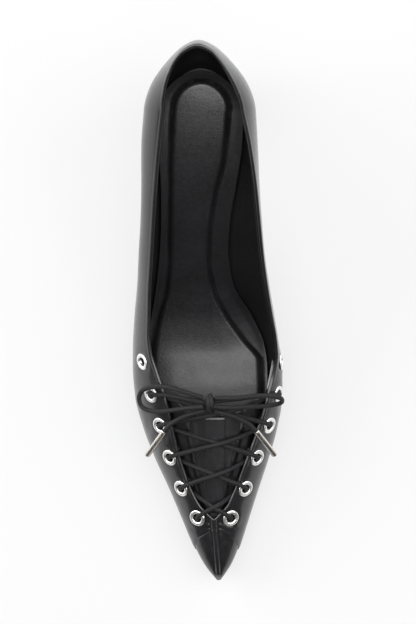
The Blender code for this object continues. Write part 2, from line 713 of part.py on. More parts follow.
def build_insole(material):
    """Build the insole board with its sock, a flat border and a raised cushion."""
    columns = upper_columns()
    columns.append(columns[0])
    shrink = UPPER_WALL + INSOLE_GAP
    rows = []
    for column in columns:
        edge, spine = plate_rows(column, shrink, NOSE_FILL + INSOLE_NOSE_GAP)
        edge, spine = Vector((*edge, 0.0)), Vector((*spine, 0.0))
        reach = (edge - spine).length
        direction = (edge - spine).normalized()
        if column.lean is None:
            pad = mix(PAD_X[MEDIAL].values[-1], PAD_BACK_RADIUS, math.cos(math.radians(column.angle)))
        elif column.side == 0:
            pad = 0.5 * reach
        else:
            pad = column.side * (PAD_X[column.side].at(edge.y) - spine.x)
        pad = min(pad, reach - PAD_BORDER)
        show = ease(edge.y, PAD_START, PAD_FULL)
        shoulder = max(pad - PAD_SHOULDER, 0.3 * reach)
        steps = [
            (reach, 0.0),
            (reach, INSOLE_THICKNESS),
            (max(pad + PAD_EDGE, 0.6 * reach), INSOLE_THICKNESS),
            (max(pad, 0.5 * reach), INSOLE_THICKNESS - PAD_GROOVE * show),
            (max(pad - PAD_EDGE, 0.4 * reach), INSOLE_THICKNESS + 0.5 * PAD_HEIGHT * show),
            (shoulder, INSOLE_THICKNESS + PAD_HEIGHT * show),
            (0.0, INSOLE_THICKNESS + PAD_HEIGHT * show),
            (0.0, 0.0),
        ]
        row = []
        for distance, height in steps:
            spot = spine + direction * distance
            row.append((spot.x, spot.y, foot_height(spot.y) + height))
        rows.append(row)
    mesh_builder = bmesh.new()
    grid = rows_of_vertices(mesh_builder, rows)
    for first, second in zip(grid, grid[1:]):
        add_faces(mesh_builder, first[:7], second[:7])
        add_faces(mesh_builder, [first[0], first[7]], [second[0], second[7]])
    return add_mesh("insole", mesh_builder, material)


def heel_ring(row, share):
    """Return one ring of the heel, round behind and flatter at the breast."""
    middle = (row.front + row.back) / 2
    depth = (row.back - row.front) / 2
    ring = []
    for k in range(HEEL_SIDES):
        turn = 2 * math.pi * k / HEEL_SIDES
        along = math.cos(turn)
        if along < 0:
            along = -abs(along) ** 0.6
        x = share * row.half_width * math.sin(turn)
        station = middle + share * depth * along
        ring.append((x, station, row.height + row.slope * (station - middle)))
    return ring + ring[:1]


def build_heel(material):
    """Build the covered heel, from the seat of the sole down to the top piece."""
    rings = []
    for share in (0.0, 0.5, 1.0):
        seat = heel_ring(HEEL_SEAT, share)
        rings.append([(x, station, TREAD.at(station) - CLEARANCE) for x, station, _ in seat])
    rings += [heel_ring(row, 1.0) for row in HEEL]
    rings.append(heel_ring(HEEL[-1], 0.0))
    mesh_builder = bmesh.new()
    grid = rows_of_vertices(mesh_builder, rings)
    for first, second in zip(grid, grid[1:]):
        add_faces(mesh_builder, first, second)
    return add_mesh("heel", mesh_builder, material)


def build_heel_tip(material):
    """Build the top piece that the heel stands on."""
    foot = HEEL[-1]
    low = HeelRow(
        0.0, foot.front + HEEL_TIP_CHAMFER, foot.back - HEEL_TIP_CHAMFER,
        foot.half_width - HEEL_TIP_CHAMFER, 0.0,
    )
    high = HeelRow(HEEL_TIP_HEIGHT, foot.front, foot.back, foot.half_width, 0.0)
    rings = [heel_ring(low, 0.0), heel_ring(low, 1.0), heel_ring(high, 1.0), heel_ring(high, 0.0)]
    mesh_builder = bmesh.new()
    grid = rows_of_vertices(mesh_builder, rings)
    for first, second in zip(grid, grid[1:]):
        add_faces(mesh_builder, first, second)
    return add_mesh("heel_tip", mesh_builder, material)


def add_tube(name, points, radius, material):
    """Build a round tube with closed ends along points in millimetres."""
    places = [Vector(point) for point in points]
    rings = []
    side = Vector((0.0, 0.0, 1.0))
    for i, place in enumerate(places):
        along = (places[min(i + 1, len(places) - 1)] - places[max(i - 1, 0)]).normalized()
        side = (side - along * side.dot(along)).normalized()
        other = along.cross(side)
        ring = []
        for k in range(LACE_SIDES + 1):
            turn = 2 * math.pi * k / LACE_SIDES
            ring.append(place + (side * math.cos(turn) + other * math.sin(turn)) * radius)
        rings.append(ring)
    first_cap = [places[0]] * (LACE_SIDES + 1)
    last_cap = [places[-1]] * (LACE_SIDES + 1)
    mesh_builder = bmesh.new()
    grid = rows_of_vertices(mesh_builder, [first_cap] + rings + [last_cap])
    for first, second in zip(grid, grid[1:]):
        add_faces(mesh_builder, first, second)
    return add_mesh(name, mesh_builder, material)


def crossing_route(start, end, middle_height):
    """Return the way of a strand over the vamp, from one eyelet to one on the other side."""
    (side_a, row_a), (side_b, row_b) = start, end
    angle_a = eyelet_seat(side_a, row_a)[0]
    angle_b = eyelet_seat(side_b, row_b)[0]
    points = []
    for k in range(CROSSING_STEPS + 1):
        share = k / CROSSING_STEPS
        station = mix(row_a.station, row_b.station, share)
        turn = mix(angle_a, math.pi - angle_b, share)
        side = side_a if turn <= math.pi / 2 else side_b
        angle = min(turn, math.pi - turn)
        height = mix(CROSSING_END_HEIGHT, middle_height, math.sin(math.pi * share) ** 2)
        section = side_section(side, station)
        points.append(section_point(section, angle, -height, section.arch))
    return points


def build_lace_crossings(material):
    """Build the laced part: crossings over the tongue, a bar, and two legs to the knot."""
    eyelets = {row.name: row for row in EYELETS}
    routes = []
    for row in CROSSINGS:
        for start, end in ((LATERAL, MEDIAL), (MEDIAL, LATERAL)):
            pair = ((start, eyelets[row.low]), (end, eyelets[row.high]))
            routes.append(crossing_route(*pair, row.middle_height))
    routes.append(crossing_route((LATERAL, eyelets["6"]), (MEDIAL, eyelets["6"]), BAR_HEIGHT))
    for side in (LATERAL, MEDIAL):
        routes.append(knot_leg(side, eyelets["2"]))
    whole = add_tube("lace_crossings", routes[0], LACE_RADIUS, material)
    for number, route in enumerate(routes[1:], start=2):
        strand = add_tube(f"strand_{number}", route, LACE_RADIUS, material)
        strand.hide_render = True
        strand.display_type = "WIRE"
        union = whole.modifiers.new(f"strand {number}", "BOOLEAN")
        union.operation = "UNION"
        union.solver = "EXACT"
        union.object = strand
    return whole


def knot_leg(side, row):
    """Return the way of the cord from the last laced eyelet, over the facing, to the knot."""
    section = side_section(side, row.station)
    start_angle = eyelet_seat(side, row)[0]
    points = []
    for k in range(LEG_STEPS + 1):
        angle = mix(start_angle, section.edge_angle + 0.1, k / LEG_STEPS)
        points.append(section_point(section, angle, -CROSSING_END_HEIGHT))
    end = Vector(BOW_KNOT) + Vector((side * (BOW_KNOT_SIZE[0] + CLEARANCE), 0.0, -1.0))
    over_edge = points[-1]
    for k in range(LEG_STEPS):
        points.append(over_edge.lerp(end, (k + 1) / LEG_STEPS))
    return points


def smooth_route(route, spacing):
    """Return evenly spaced points on a smooth curve through a route."""
    points = [Vector(point) for point in route]
    padded = [2 * points[0] - points[1]] + points + [2 * points[-1] - points[-2]]
    fine = []
    for i in range(len(points) - 1):
        a, b, c, d = padded[i:i + 4]
        for k in range(24):
            s = k / 24
            bend = 2 * b + (c - a) * s + (2 * a - 5 * b + 4 * c - d) * s * s
            fine.append(0.5 * (bend + (3 * b - a - 3 * c + d) * s ** 3))
    fine.append(points[-1])
    lengths = [0.0]
    for before, after in zip(fine, fine[1:]):
        lengths.append(lengths[-1] + (after - before).length)
    count = max(3, round(lengths[-1] / spacing))
    even = []
    i = 0
    for k in range(count + 1):
        target = lengths[-1] * k / count
        while i < len(fine) - 2 and lengths[i + 1] < target:
            i += 1
        share = (target - lengths[i]) / (lengths[i + 1] - lengths[i])
        even.append(fine[i].lerp(fine[i + 1], share))
    return even


def add_cord(name, route, material):
    """Build a free length of lace as a bevelled curve with filled ends."""
    curve = bpy.data.curves.new(name, "CURVE")
    curve.dimensions = "3D"
    curve.bevel_depth = LACE_RADIUS * MM
    curve.bevel_resolution = 2
    curve.use_fill_caps = True
    points = smooth_route(route, 4 * LACE_RADIUS)
    spline = curve.splines.new("POLY")
    spline.points.add(len(points) - 1)
    for spot, point in zip(spline.points, points):
        spot.co = (*metres(point), 1.0)
    curve.materials.append(material)
    cord = bpy.data.objects.new(name, curve)
    bpy.context.scene.collection.objects.link(cord)
    return cord


def build_knot(material):
    """Build the knot of the bow."""
    mesh_builder = bmesh.new()
    size = Matrix.Diagonal((*[side * MM for side in BOW_KNOT_SIZE], 1.0))
    matrix = Matrix.Translation(metres(BOW_KNOT)) @ size
    bmesh.ops.create_uvsphere(mesh_builder, u_segments=12, v_segments=8, radius=1.0, matrix=matrix)
    return add_mesh("lace_knot", mesh_builder, material, 60.0)


def build_aglet(name, end_route, tip, material):
    """Build the metal tube on an end of the lace."""
    last = Vector(end_route[-1])
    direction = (Vector(tip) - last).normalized()
    middle = last + direction * (AGLET_LENGTH / 2 + CLEARANCE)
    mesh_builder = bmesh.new()
    bmesh.ops.create_cone(
        mesh_builder, cap_ends=True, segments=12, radius1=AGLET_RADIUS * MM,
        radius2=AGLET_RADIUS * MM, depth=AGLET_LENGTH * MM, matrix=turn_to(direction, middle),
    )
    return add_mesh(name, mesh_builder, material)


def main():
    """Clear the scene and build every piece."""
    for old in list(bpy.data.objects):
        bpy.data.objects.remove(old, do_unlink=True)
    leather = make_material("smooth black leather", (0.012, 0.012, 0.013), 0.3)
    lining = make_material("black lining leather", (0.02, 0.02, 0.021), 0.5)
    sole = make_material("black sole", (0.015, 0.015, 0.015), 0.55)
    rubber = make_material("black top piece", (0.02, 0.02, 0.02), 0.8)
    metal = make_material("silver metal", (0.8, 0.8, 0.8), 0.18, 1.0)
    cord = make_material("black cord", (0.016, 0.016, 0.016), 0.75)
    build_upper(leather)
    build_tongue(leather)
    build_insole(lining)
    build_outsole(sole)
    build_heel(leather)
    build_heel_tip(rubber)
    build_eyelets(metal)
    build_lace_crossings(cord)
    build_knot(cord)
    add_cord("lace_loop_lateral", LOOP_LATERAL, cord)
    add_cord("lace_loop_medial", LOOP_MEDIAL, cord)
    add_cord("lace_end_lateral", END_LATERAL, cord)
    add_cord("lace_end_medial", END_MEDIAL, cord)
    build_aglet("aglet_lateral", END_LATERAL, AGLET_LATERAL_TIP, metal)
    build_aglet("aglet_medial", END_MEDIAL, AGLET_MEDIAL_TIP, metal)


main()
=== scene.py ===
"""Dressed model of a right-foot pointed pump with a lace-up throat and a slim covered heel.

Sizes are in millimetres in the tables and in the classes, and become metres in the meshes.
A station is the distance from the toe tip towards the heel.  The toe points along -Y, the
medial side is +X, the lateral side is -X and the floor is Z = 0.
"""

import logging
import math
from bisect import bisect_right
from dataclasses import dataclass, field
from enum import Enum
from typing import Iterable, Optional, Sequence, Union

import bmesh
import bpy
import numpy as np
from mathutils import Matrix, Vector


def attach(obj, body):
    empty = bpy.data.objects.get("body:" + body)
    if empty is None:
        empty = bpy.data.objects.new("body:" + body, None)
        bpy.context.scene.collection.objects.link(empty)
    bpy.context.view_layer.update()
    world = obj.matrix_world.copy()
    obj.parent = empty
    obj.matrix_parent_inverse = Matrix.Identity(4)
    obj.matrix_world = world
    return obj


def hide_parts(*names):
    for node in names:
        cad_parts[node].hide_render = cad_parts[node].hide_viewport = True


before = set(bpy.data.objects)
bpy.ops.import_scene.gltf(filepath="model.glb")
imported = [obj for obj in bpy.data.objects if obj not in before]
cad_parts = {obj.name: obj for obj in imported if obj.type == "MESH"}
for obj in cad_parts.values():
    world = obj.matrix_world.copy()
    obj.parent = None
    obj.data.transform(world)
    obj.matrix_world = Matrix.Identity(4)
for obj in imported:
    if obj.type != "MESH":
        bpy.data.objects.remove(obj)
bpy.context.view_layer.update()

LOG = logging.getLogger("pump")
MM = 0.001
SHOE_LENGTH = 257.0
BOX_CENTRE_X = 1.9
HEEL_CENTRE = 225.0
BODY = "root"

# Corners closer than this, in metres, count as one, in a face and in a whole piece.
SAME_PLACE = 2e-7
MERGE = 5e-7
# Edges of rolled leather and cord over this many degrees stay sharp.
SOFT_EDGE = 60.0

Pair = tuple[float, float]
Triple = tuple[float, float, float]
Grid = np.ndarray
Piece = bpy.types.Object
Corner = bmesh.types.BMVert
Material = bpy.types.Material
Node = bpy.types.Node
Tree = bpy.types.NodeTree
Socket = bpy.types.NodeSocket
NodeValue = Union[Socket, Material, float, str, tuple]
NodeValues = dict[Union[int, str], NodeValue]


class Side(Enum):
    """The two sides of the shoe, with the direction of each along X."""

    LATERAL = -1
    MEDIAL = 1

    def other(self) -> "Side":
        """Return the side across from this one."""
        return Side(-self.value)


class Slot(Enum):
    """The record's material slots."""

    UPPER = "upper_leather"
    TONGUE = "tongue_leather"
    SOCK = "sock_leather"
    SOLE = "sole"
    HEEL = "heel_leather"
    TOP_PIECE = "top_piece"
    LACE = "lace"
    EYELET = "eyelet_metal"
    AGLET = "aglet_metal"


def metres(point: Sequence[float]) -> Vector:
    """Turn a table point into a place in the scene.

    Args:
        point: x, station and height in millimetres.

    Returns:
        The place in metres.
    """
    return Vector(((point[0] - BOX_CENTRE_X) * MM, (point[1] - SHOE_LENGTH / 2) * MM, point[2] * MM))


def mix(a: float, b: float, share: float) -> float:
    """Return the value a share of the way from a to b."""
    return a + (b - a) * share


def ease(value: float, start: float, end: float) -> float:
    """Return 0 before start, 1 after end, and a smooth step between them."""
    share = min(1.0, max(0.0, (value - start) / (end - start)))
    return share * share * (3 - 2 * share)


def swell(place: Union[float, Grid], centre: float, width: float, power: int = 2) -> Union[float, Grid]:
    """Return a smooth hump of height 1 around a centre."""
    return np.exp(-(((place - centre) / width) ** power))


def in_scene(name: str, data: bpy.types.ID) -> Piece:
    """Put a mesh, a camera or a light into the scene, at the origin."""
    made = bpy.data.objects.new(name, data)
    bpy.context.scene.collection.objects.link(made)
    return made


def solid(name: str, work: bmesh.types.BMesh, sharp: Optional[float] = None) -> Piece:
    """Turn a working mesh into an object.

    Args:
        name: the object's name.
        work: the working mesh; it is used up.
        sharp: edges over this many degrees stay sharp; faces stay flat without it.

    Returns:
        The object.
    """
    mesh = bpy.data.meshes.new(name)
    work.to_mesh(mesh)
    work.free()
    if sharp is not None:
        mesh.shade_smooth()
        mesh.set_sharp_from_angle(angle=math.radians(sharp))
    return in_scene(name, mesh)


class Profile:
    """Smooth curve through the rows of a table that never overshoots them."""

    def __init__(self, keys: Sequence[float], values: Sequence[float]) -> None:
        """Work out the slope at each row.

        Args:
            keys: rising positions of the rows.
            values: the value at each row.
        """
        self.keys = [float(key) for key in keys]
        self.values = [float(value) for value in values]
        steps = [
            (self.values[i + 1] - self.values[i]) / (self.keys[i + 1] - self.keys[i])
            for i in range(len(self.keys) - 1)
        ]
        self.slopes = [steps[0]]
        for before, after in zip(steps, steps[1:]):
            self.slopes.append(0.0 if before * after <= 0 else 2 * before * after / (before + after))
        self.slopes.append(steps[-1])

    def at(self, key: float) -> float:
        """Read the curve.

        Args:
            key: the position; beyond the ends of the table the end value holds.

        Returns:
            The value there.
        """
        keys, values = self.keys, self.values
        if key <= keys[0]:
            return values[0]
        if key >= keys[-1]:
            return values[-1]
        i = bisect_right(keys, key) - 1
        width = keys[i + 1] - keys[i]
        s = (key - keys[i]) / width
        start = (1 + 2 * s) * (1 - s) ** 2 * values[i] + s * (1 - s) ** 2 * width * self.slopes[i]
        end = s * s * (3 - 2 * s) * values[i + 1] + s * s * (s - 1) * width * self.slopes[i + 1]
        return start + end


def profiles(rows: Sequence[Sequence[float]]) -> list[Profile]:
    """Make one curve for each column of a table after its first.

    Args:
        rows: table rows that start with the position.

    Returns:
        The curves, in the order of the columns.
    """
    columns = list(zip(*rows))
    return [Profile(columns[0], column) for column in columns[1:]]


@dataclass(frozen=True)
class Section:
    """Upright slice of the last that starts on its centre line."""

    x: float
    station: float
    dx: float
    dy: float
    wide: float
    wide_z: float
    foot_angle: float
    fall: float
    edge_angle: float
    rise: float
    arch: float

    def point(self, angle: float, inset: float, rise: Optional[float] = None) -> np.ndarray:
        """Find a point of the slice.

        Args:
            angle: 0 at the widest place, a quarter turn at the crown, negative below.
            inset: depth under the outer face in millimetres; negative is above it.
            rise: height of the arch over the widest place; the slice's own by default.

        Returns:
            x, station and height in millimetres.
        """
        rise = self.rise if rise is None else rise
        if angle >= 0:
            reach = (self.wide - inset) * math.cos(angle)
            height = self.wide_z + (rise - inset) * math.sin(angle)
        else:
            reach = self.wide * math.cos(angle) - inset
            height = self.wide_z + self.fall * math.sin(angle)
        reach = max(reach, 0.0)
        return np.array((self.x + self.dx * reach, self.station + self.dy * reach, height))


@dataclass(frozen=True)
class EyeletRow:
    """One eyelet of each facing: its station, and its distance from the edge."""

    name: str
    station: float
    inset: float


EYELETS = (
    EyeletRow("1", 108.0, 8.0), EyeletRow("2", 92.5, 8.0), EyeletRow("3", 77.5, 6.8),
    EyeletRow("4", 62.0, 6.0), EyeletRow("5", 47.0, 5.8), EyeletRow("6", 32.8, 8.0),
)


@dataclass(frozen=True)
class Column:
    """A line of the upper from the sole to the edge."""

    side: Optional[Side]
    wide: float
    angle: float = 0.0


def columns_round(sides: Sequence[float], turns: int, reach: float) -> list[Column]:
    """Make columns up one side of the shoe, around its back and down the other side.

    Args:
        sides: stations of a side's columns at their widest, from the front.
        turns: how many columns go around the back.
        reach: degrees that they go to each side of its middle.

    Returns:
        The columns in order.
    """
    return [
        *(Column(Side.LATERAL, wide) for wide in sides),
        *(Column(None, HEEL_CENTRE, angle) for angle in np.linspace(-reach, reach, turns)),
        *(Column(Side.MEDIAL, wide) for wide in reversed(sides)),
    ]


@dataclass
class Last:
    """The shape that the shoe was made on, with the lines that its pieces follow."""

    v_base: float = 32.5
    widest_level: float = 0.3
    wall: float = 1.8
    nose_fill: float = 4.6
    nose_fade: float = 7.0
    tip_width: float = 0.01
    throat_blend: Pair = (94.0, 114.0)
    sections: dict[tuple[Side, float], Section] = field(default_factory=dict)

    def __post_init__(self) -> None:
        """Read the tables into smooth curves."""
        self.tread, self.sole_thickness = profiles((
            (0, 7.5, 2.5), (10, 5.4, 2.8), (20, 3.5, 3.0), (35, 1.3, 3.0), (50, 0.25, 3.0),
            (60, 0.0, 3.0), (98, 0.0, 3.0), (110, 0.9, 3.0), (125, 5.0, 2.8), (140, 12.6, 2.6),
            (155, 22.6, 2.6), (170, 33.6, 2.6), (185, 44.2, 2.6), (200, 53.0, 2.6),
            (215, 59.6, 2.6), (230, 64.4, 2.6), (245, 68.2, 2.6), (260, 71.4, 2.6),
        ))
        foot_l, foot_m, wide_l, wide_m, level_l, level_m = profiles((
            (0, 6.5, 6.5, 6.5, 6.5, 12.5, 12.5), (2, 6.3, 6.5, 4.8, 8.2, 12.5, 12.5),
            (5, 3.5, 9.0, 2.1, 10.4, 12.5, 12.5), (10, -0.1, 12.1, -1.5, 13.5, 12.3, 12.3),
            (18, -4.2, 15.3, -5.7, 16.8, 12.0, 12.0), (31, -9.4, 19.2, -11.2, 21.0, 11.8, 12.2),
            (46, -15.5, 23.6, -17.5, 25.8, 12.3, 13.4), (60, -21.4, 27.9, -23.9, 30.4, 13.2, 15.2),
            (75, -26.6, 31.0, -29.6, 34.6, 14.6, 18.0), (90, -30.2, 32.2, -33.5, 37.1, 16.4, 21.6),
            (105, -31.0, 31.8, -34.6, 37.3, 18.6, 26.0), (115, -30.4, 30.4, -34.4, 35.9, 21.0, 29.5),
            (130, -27.9, 24.0, -33.2, 33.6, 28.0, 36.0), (145, -25.2, 15.6, -31.4, 31.2, 37.0, 44.0),
            (160, -23.2, 13.6, -30.2, 29.2, 46.5, 53.0), (175, -22.0, 14.8, -28.8, 28.1, 56.5, 62.0),
            (190, -21.6, 17.6, -27.9, 27.2, 66.0, 71.0), (210, -22.0, 20.9, -27.2, 26.5, 77.5, 80.5),
            (225, -21.8, 21.8, -25.7, 25.7, 84.5, 86.0),
        ))
        self.foot_x = {Side.LATERAL: foot_l, Side.MEDIAL: foot_m}
        self.wide_x = {Side.LATERAL: wide_l, Side.MEDIAL: wide_m}
        self.wide_z = {Side.LATERAL: level_l, Side.MEDIAL: level_m}
        self.centre_x, self.crown_z = profiles((
            (0, 6.5, 14.5), (4, 6.4, 17.2), (10, 6.1, 20.0), (20, 5.4, 23.4), (32, 4.6, 27.2),
            (46, 4.8, 31.6), (60, 5.2, 36.0), (75, 5.4, 40.6), (90, 5.4, 45.2), (105, 5.0, 49.6),
            (120, 4.0, 54.0), (150, 1.5, 62.0), (175, 0.3, 70.0), (200, 0.0, 80.0), (225, 0.0, 90.0),
        ))
        edge_l, edge_m = profiles((
            (32.5, 4.6, 4.6), (39, -2.0, 10.8), (46, -5.9, 14.4), (55, -9.4, 18.0), (65, -12.4, 21.8),
            (75, -14.7, 25.6), (85, -16.8, 28.8), (95, -19.3, 31.6), (104, -22.4, 33.9),
            (112, -25.0, 35.3), (120, -25.9, 34.7), (130, -25.5, 33.0), (142, -25.0, 31.1),
            (155, -23.8, 29.4), (170, -22.5, 28.0), (190, -20.5, 26.2), (210, -17.9, 23.3),
            (225, -15.7, 20.0),
        ))
        self.edge_x = {Side.LATERAL: edge_l, Side.MEDIAL: edge_m}
        collar_l, collar_m = profiles((
            (94, 37.5, 36.0), (112, 41.5, 40.5), (125, 45.0, 46.0), (140, 51.0, 53.0),
            (155, 58.5, 61.5), (170, 67.5, 71.0), (185, 77.0, 80.5), (200, 88.0, 90.5),
            (215, 98.5, 100.0), (225, 104.5, 105.5),
        ))
        self.collar_z = {Side.LATERAL: collar_l, Side.MEDIAL: collar_m}
        self.back_foot, self.back_wide, self.back_wide_z, self.back_edge, self.back_edge_z = profiles((
            (-90, 21.8, 25.7, 84.5, 15.7, 104.5), (-68, 21.4, 25.2, 86.5, 16.7, 108.6),
            (-52, 21.1, 25.4, 88.5, 18.5, 111.8), (-38, 21.0, 26.2, 90.2, 21.0, 114.4),
            (-25, 21.2, 27.9, 91.4, 24.3, 116.4), (-12, 21.8, 30.4, 92.1, 27.4, 117.7),
            (0, 22.1, 32.0, 92.4, 28.8, 118.2), (12, 21.8, 30.4, 92.2, 27.4, 117.8),
            (25, 21.2, 27.9, 91.8, 24.4, 116.6), (38, 21.0, 26.2, 90.8, 21.8, 114.8),
            (52, 21.1, 25.4, 89.5, 20.2, 112.3), (68, 21.4, 25.2, 87.8, 19.6, 109.4),
            (90, 21.8, 25.7, 86.0, 20.0, 105.5),
        ))
        self.lean_foot, self.lean_edge = profiles((
            (0, 2.4, 4.0), (1.2, 3.4, 5.6), (3.0, 5.0, 8.0), (6.4, 8.0, 12.5), (11.2, 12.0, 20.0),
            (16.0, 16.0, 27.0), (20.4, 20.0, 30.0), (25.0, 24.0, 32.5), (29.5, 28.5, 36.0),
            (34.5, 33.5, 40.0), (40.0, 39.0, 44.5), (45.8, 45.0, 49.5), (51.5, 51.0, 54.5),
            (60, 60, 60), (225, 225, 225),
        ))

    def foot_height(self, station: float) -> float:
        """Return the height of the sole's upper face at a station."""
        return self.tread.at(station) + self.sole_thickness.at(station)

    def side_section(self, side: Side, station: float) -> Section:
        """Cut one half of the last at a station.

        Args:
            side: the lateral or the medial half.
            station: where the slice stands.

        Returns:
            The slice.
        """
        key = (side, round(station, 5))
        if key in self.sections:
            return self.sections[key]
        sign = side.value
        centre = self.centre_x.at(station)
        wide = max(0.05, sign * (self.wide_x[side].at(station) - centre))
        foot = max(0.02, sign * (self.foot_x[side].at(station) - centre))
        wide_z = self.wide_z[side].at(station)
        foot_angle = math.acos(min(0.999, foot / wide))
        fall = (wide_z - self.foot_height(station)) / math.sin(foot_angle)
        arch = self.crown_z.at(station) - wide_z
        edge_angle, rise = math.pi / 2, arch
        if station > self.v_base:
            edge = sign * (self.edge_x[side].at(station) - centre)
            edge_angle = math.acos(min(0.995, edge / wide))
            collar = (self.collar_z[side].at(station) - wide_z) / math.sin(edge_angle)
            rise = mix(arch, collar, ease(station, *self.throat_blend))
        made = Section(centre, station, sign, 0.0, wide, wide_z, foot_angle, fall, edge_angle, rise, arch)
        self.sections[key] = made
        return made

    def back_section(self, angle: float) -> Section:
        """Cut the back of the last.

        Args:
            angle: degrees around the heel's centre, from -90, lateral, to 90, medial.

        Returns:
            The slice.
        """
        wide, wide_z = self.back_wide.at(angle), self.back_wide_z.at(angle)
        turn = math.radians(angle)
        foot = self.back_foot.at(angle)
        foot_angle = math.acos(foot / wide)
        fall = (wide_z - self.foot_height(HEEL_CENTRE + foot * math.cos(turn))) / math.sin(foot_angle)
        edge_angle = math.acos(self.back_edge.at(angle) / wide)
        rise = (self.back_edge_z.at(angle) - wide_z) / math.sin(edge_angle)
        return Section(
            0.0, HEEL_CENTRE, math.sin(turn), math.cos(turn), wide, wide_z,
            foot_angle, fall, edge_angle, rise, rise,
        )

    def level_angle(self, section: Section, level: float) -> float:
        """Return the angle on a slice of a level from 0, the sole, to 1, the edge."""
        if level < self.widest_level:
            return -section.foot_angle * (1 - level / self.widest_level)
        return section.edge_angle * (level - self.widest_level) / (1 - self.widest_level)

    def lean_station(self, wide: float, level: float) -> float:
        """Return the station at a level of a column that leans back from the sole to the ridge.

        Args:
            wide: station of the column at its widest.
            level: height on the column, 0 at the sole and 1 at the edge.

        Returns:
            The station of the column at that height.
        """
        if level < self.widest_level:
            return mix(self.lean_foot.at(wide), wide, level / self.widest_level)
        share = (level - self.widest_level) / (1 - self.widest_level)
        return mix(wide, self.lean_edge.at(wide), share)

    def is_closed(self, wide: float) -> bool:
        """Return whether the column ends on the closed ridge in front of the throat."""
        return self.lean_edge.at(wide) <= self.v_base + 1e-6

    def side_point(self, side: Side, wide: float, level: float, depth: float) -> np.ndarray:
        """Find a point of the upper on a side.

        Args:
            side: lateral or medial.
            wide: station of the column where it is widest.
            level: 0 at the sole, 1 at the edge or the ridge.
            depth: 0 at the outer face, the wall's thickness at the inner one.

        Returns:
            x, station and height in millimetres.
        """
        station = self.lean_station(wide, level)
        station += self.nose_fill * math.exp(-station / self.nose_fade) * depth / self.wall
        section = self.side_section(side, station)
        point = section.point(self.level_angle(section, level), depth)
        if wide < self.tip_width or (self.is_closed(wide) and level >= 1.0):
            point[0] = self.centre_x.at(station)
        return point

    def back_point(self, angle: float, level: float, depth: float) -> np.ndarray:
        """Return a point of the upper around the heel, in millimetres."""
        section = self.back_section(angle)
        return section.point(self.level_angle(section, level), depth)

    def column_point(self, column: Column, level: float, depth: float) -> np.ndarray:
        """Return a point of a column, in millimetres."""
        if column.side is None:
            return self.back_point(column.angle, level, depth)
        return self.side_point(column.side, column.wide, level, depth)

    def spoke(self, column: Column, out: float, nose: float = 0.0) -> tuple[Vector, Vector]:
        """Find the line across the sole from its middle to its edge under a column.

        Args:
            column: the column.
            out: how far the edge lies outside the upper's foot; negative is inside it.
            nose: how far the line is moved back at the toe tip.

        Returns:
            The middle and the edge, as x and station.
        """
        if column.side is None:
            turn = math.radians(column.angle)
            radius = self.back_foot.at(column.angle) + out
            edge = Vector((radius * math.sin(turn), HEEL_CENTRE + radius * math.cos(turn)))
            return Vector((0.0, HEEL_CENTRE)), edge
        foot = self.lean_foot.at(column.wide)
        station = foot + nose * math.exp(-foot / self.nose_fade)
        middle = Vector((self.centre_x.at(station), station))
        if column.wide < self.tip_width:
            return middle + Vector((0.0, 1.0)), middle - Vector((0.0, max(0.0, out)))
        edge_x = self.foot_x[column.side].at(station) + column.side.value * out
        return middle, Vector((edge_x, station))

    def eyelet_seat(self, side: Side, row: EyeletRow) -> tuple[float, np.ndarray, np.ndarray]:
        """Find where an eyelet sits.

        Args:
            side: the facing that holds it.
            row: the eyelet.

        Returns:
            The angle on the slice, the place and the outward direction.
        """
        section = self.side_section(side, row.station)
        angle = section.edge_angle
        place = section.point(angle, 0.0)
        travelled = 0.0
        while travelled < row.inset:
            angle -= 0.005
            following = section.point(angle, 0.0)
            travelled += float(np.linalg.norm(following - place))
            place = following
        ahead = self.side_section(side, row.station + 0.5).point(angle, 0.0)
        higher = section.point(angle + 0.02, 0.0)
        normal = np.cross(ahead - place, higher - place)
        normal /= np.linalg.norm(normal)
        if not (normal[0] * side.value > 0 or normal[2] > 0.7):
            normal = -normal
        return angle, place, normal

    def eyelet_seats(self) -> list[tuple[Side, EyeletRow, np.ndarray, np.ndarray]]:
        """Return the side, the row, the place and the outward direction of each eyelet."""
        return [(side, row, *self.eyelet_seat(side, row)[1:]) for side in Side for row in EYELETS]


@dataclass(frozen=True)
class Crease:
    """A soft trough with a ridge beside it, along a line on a side of the upper.

    The line's places are station at the widest line and level.
    """

    side: Side
    places: tuple[Pair, ...]
    depth: float
    width: float
    ridge: float = 0.5


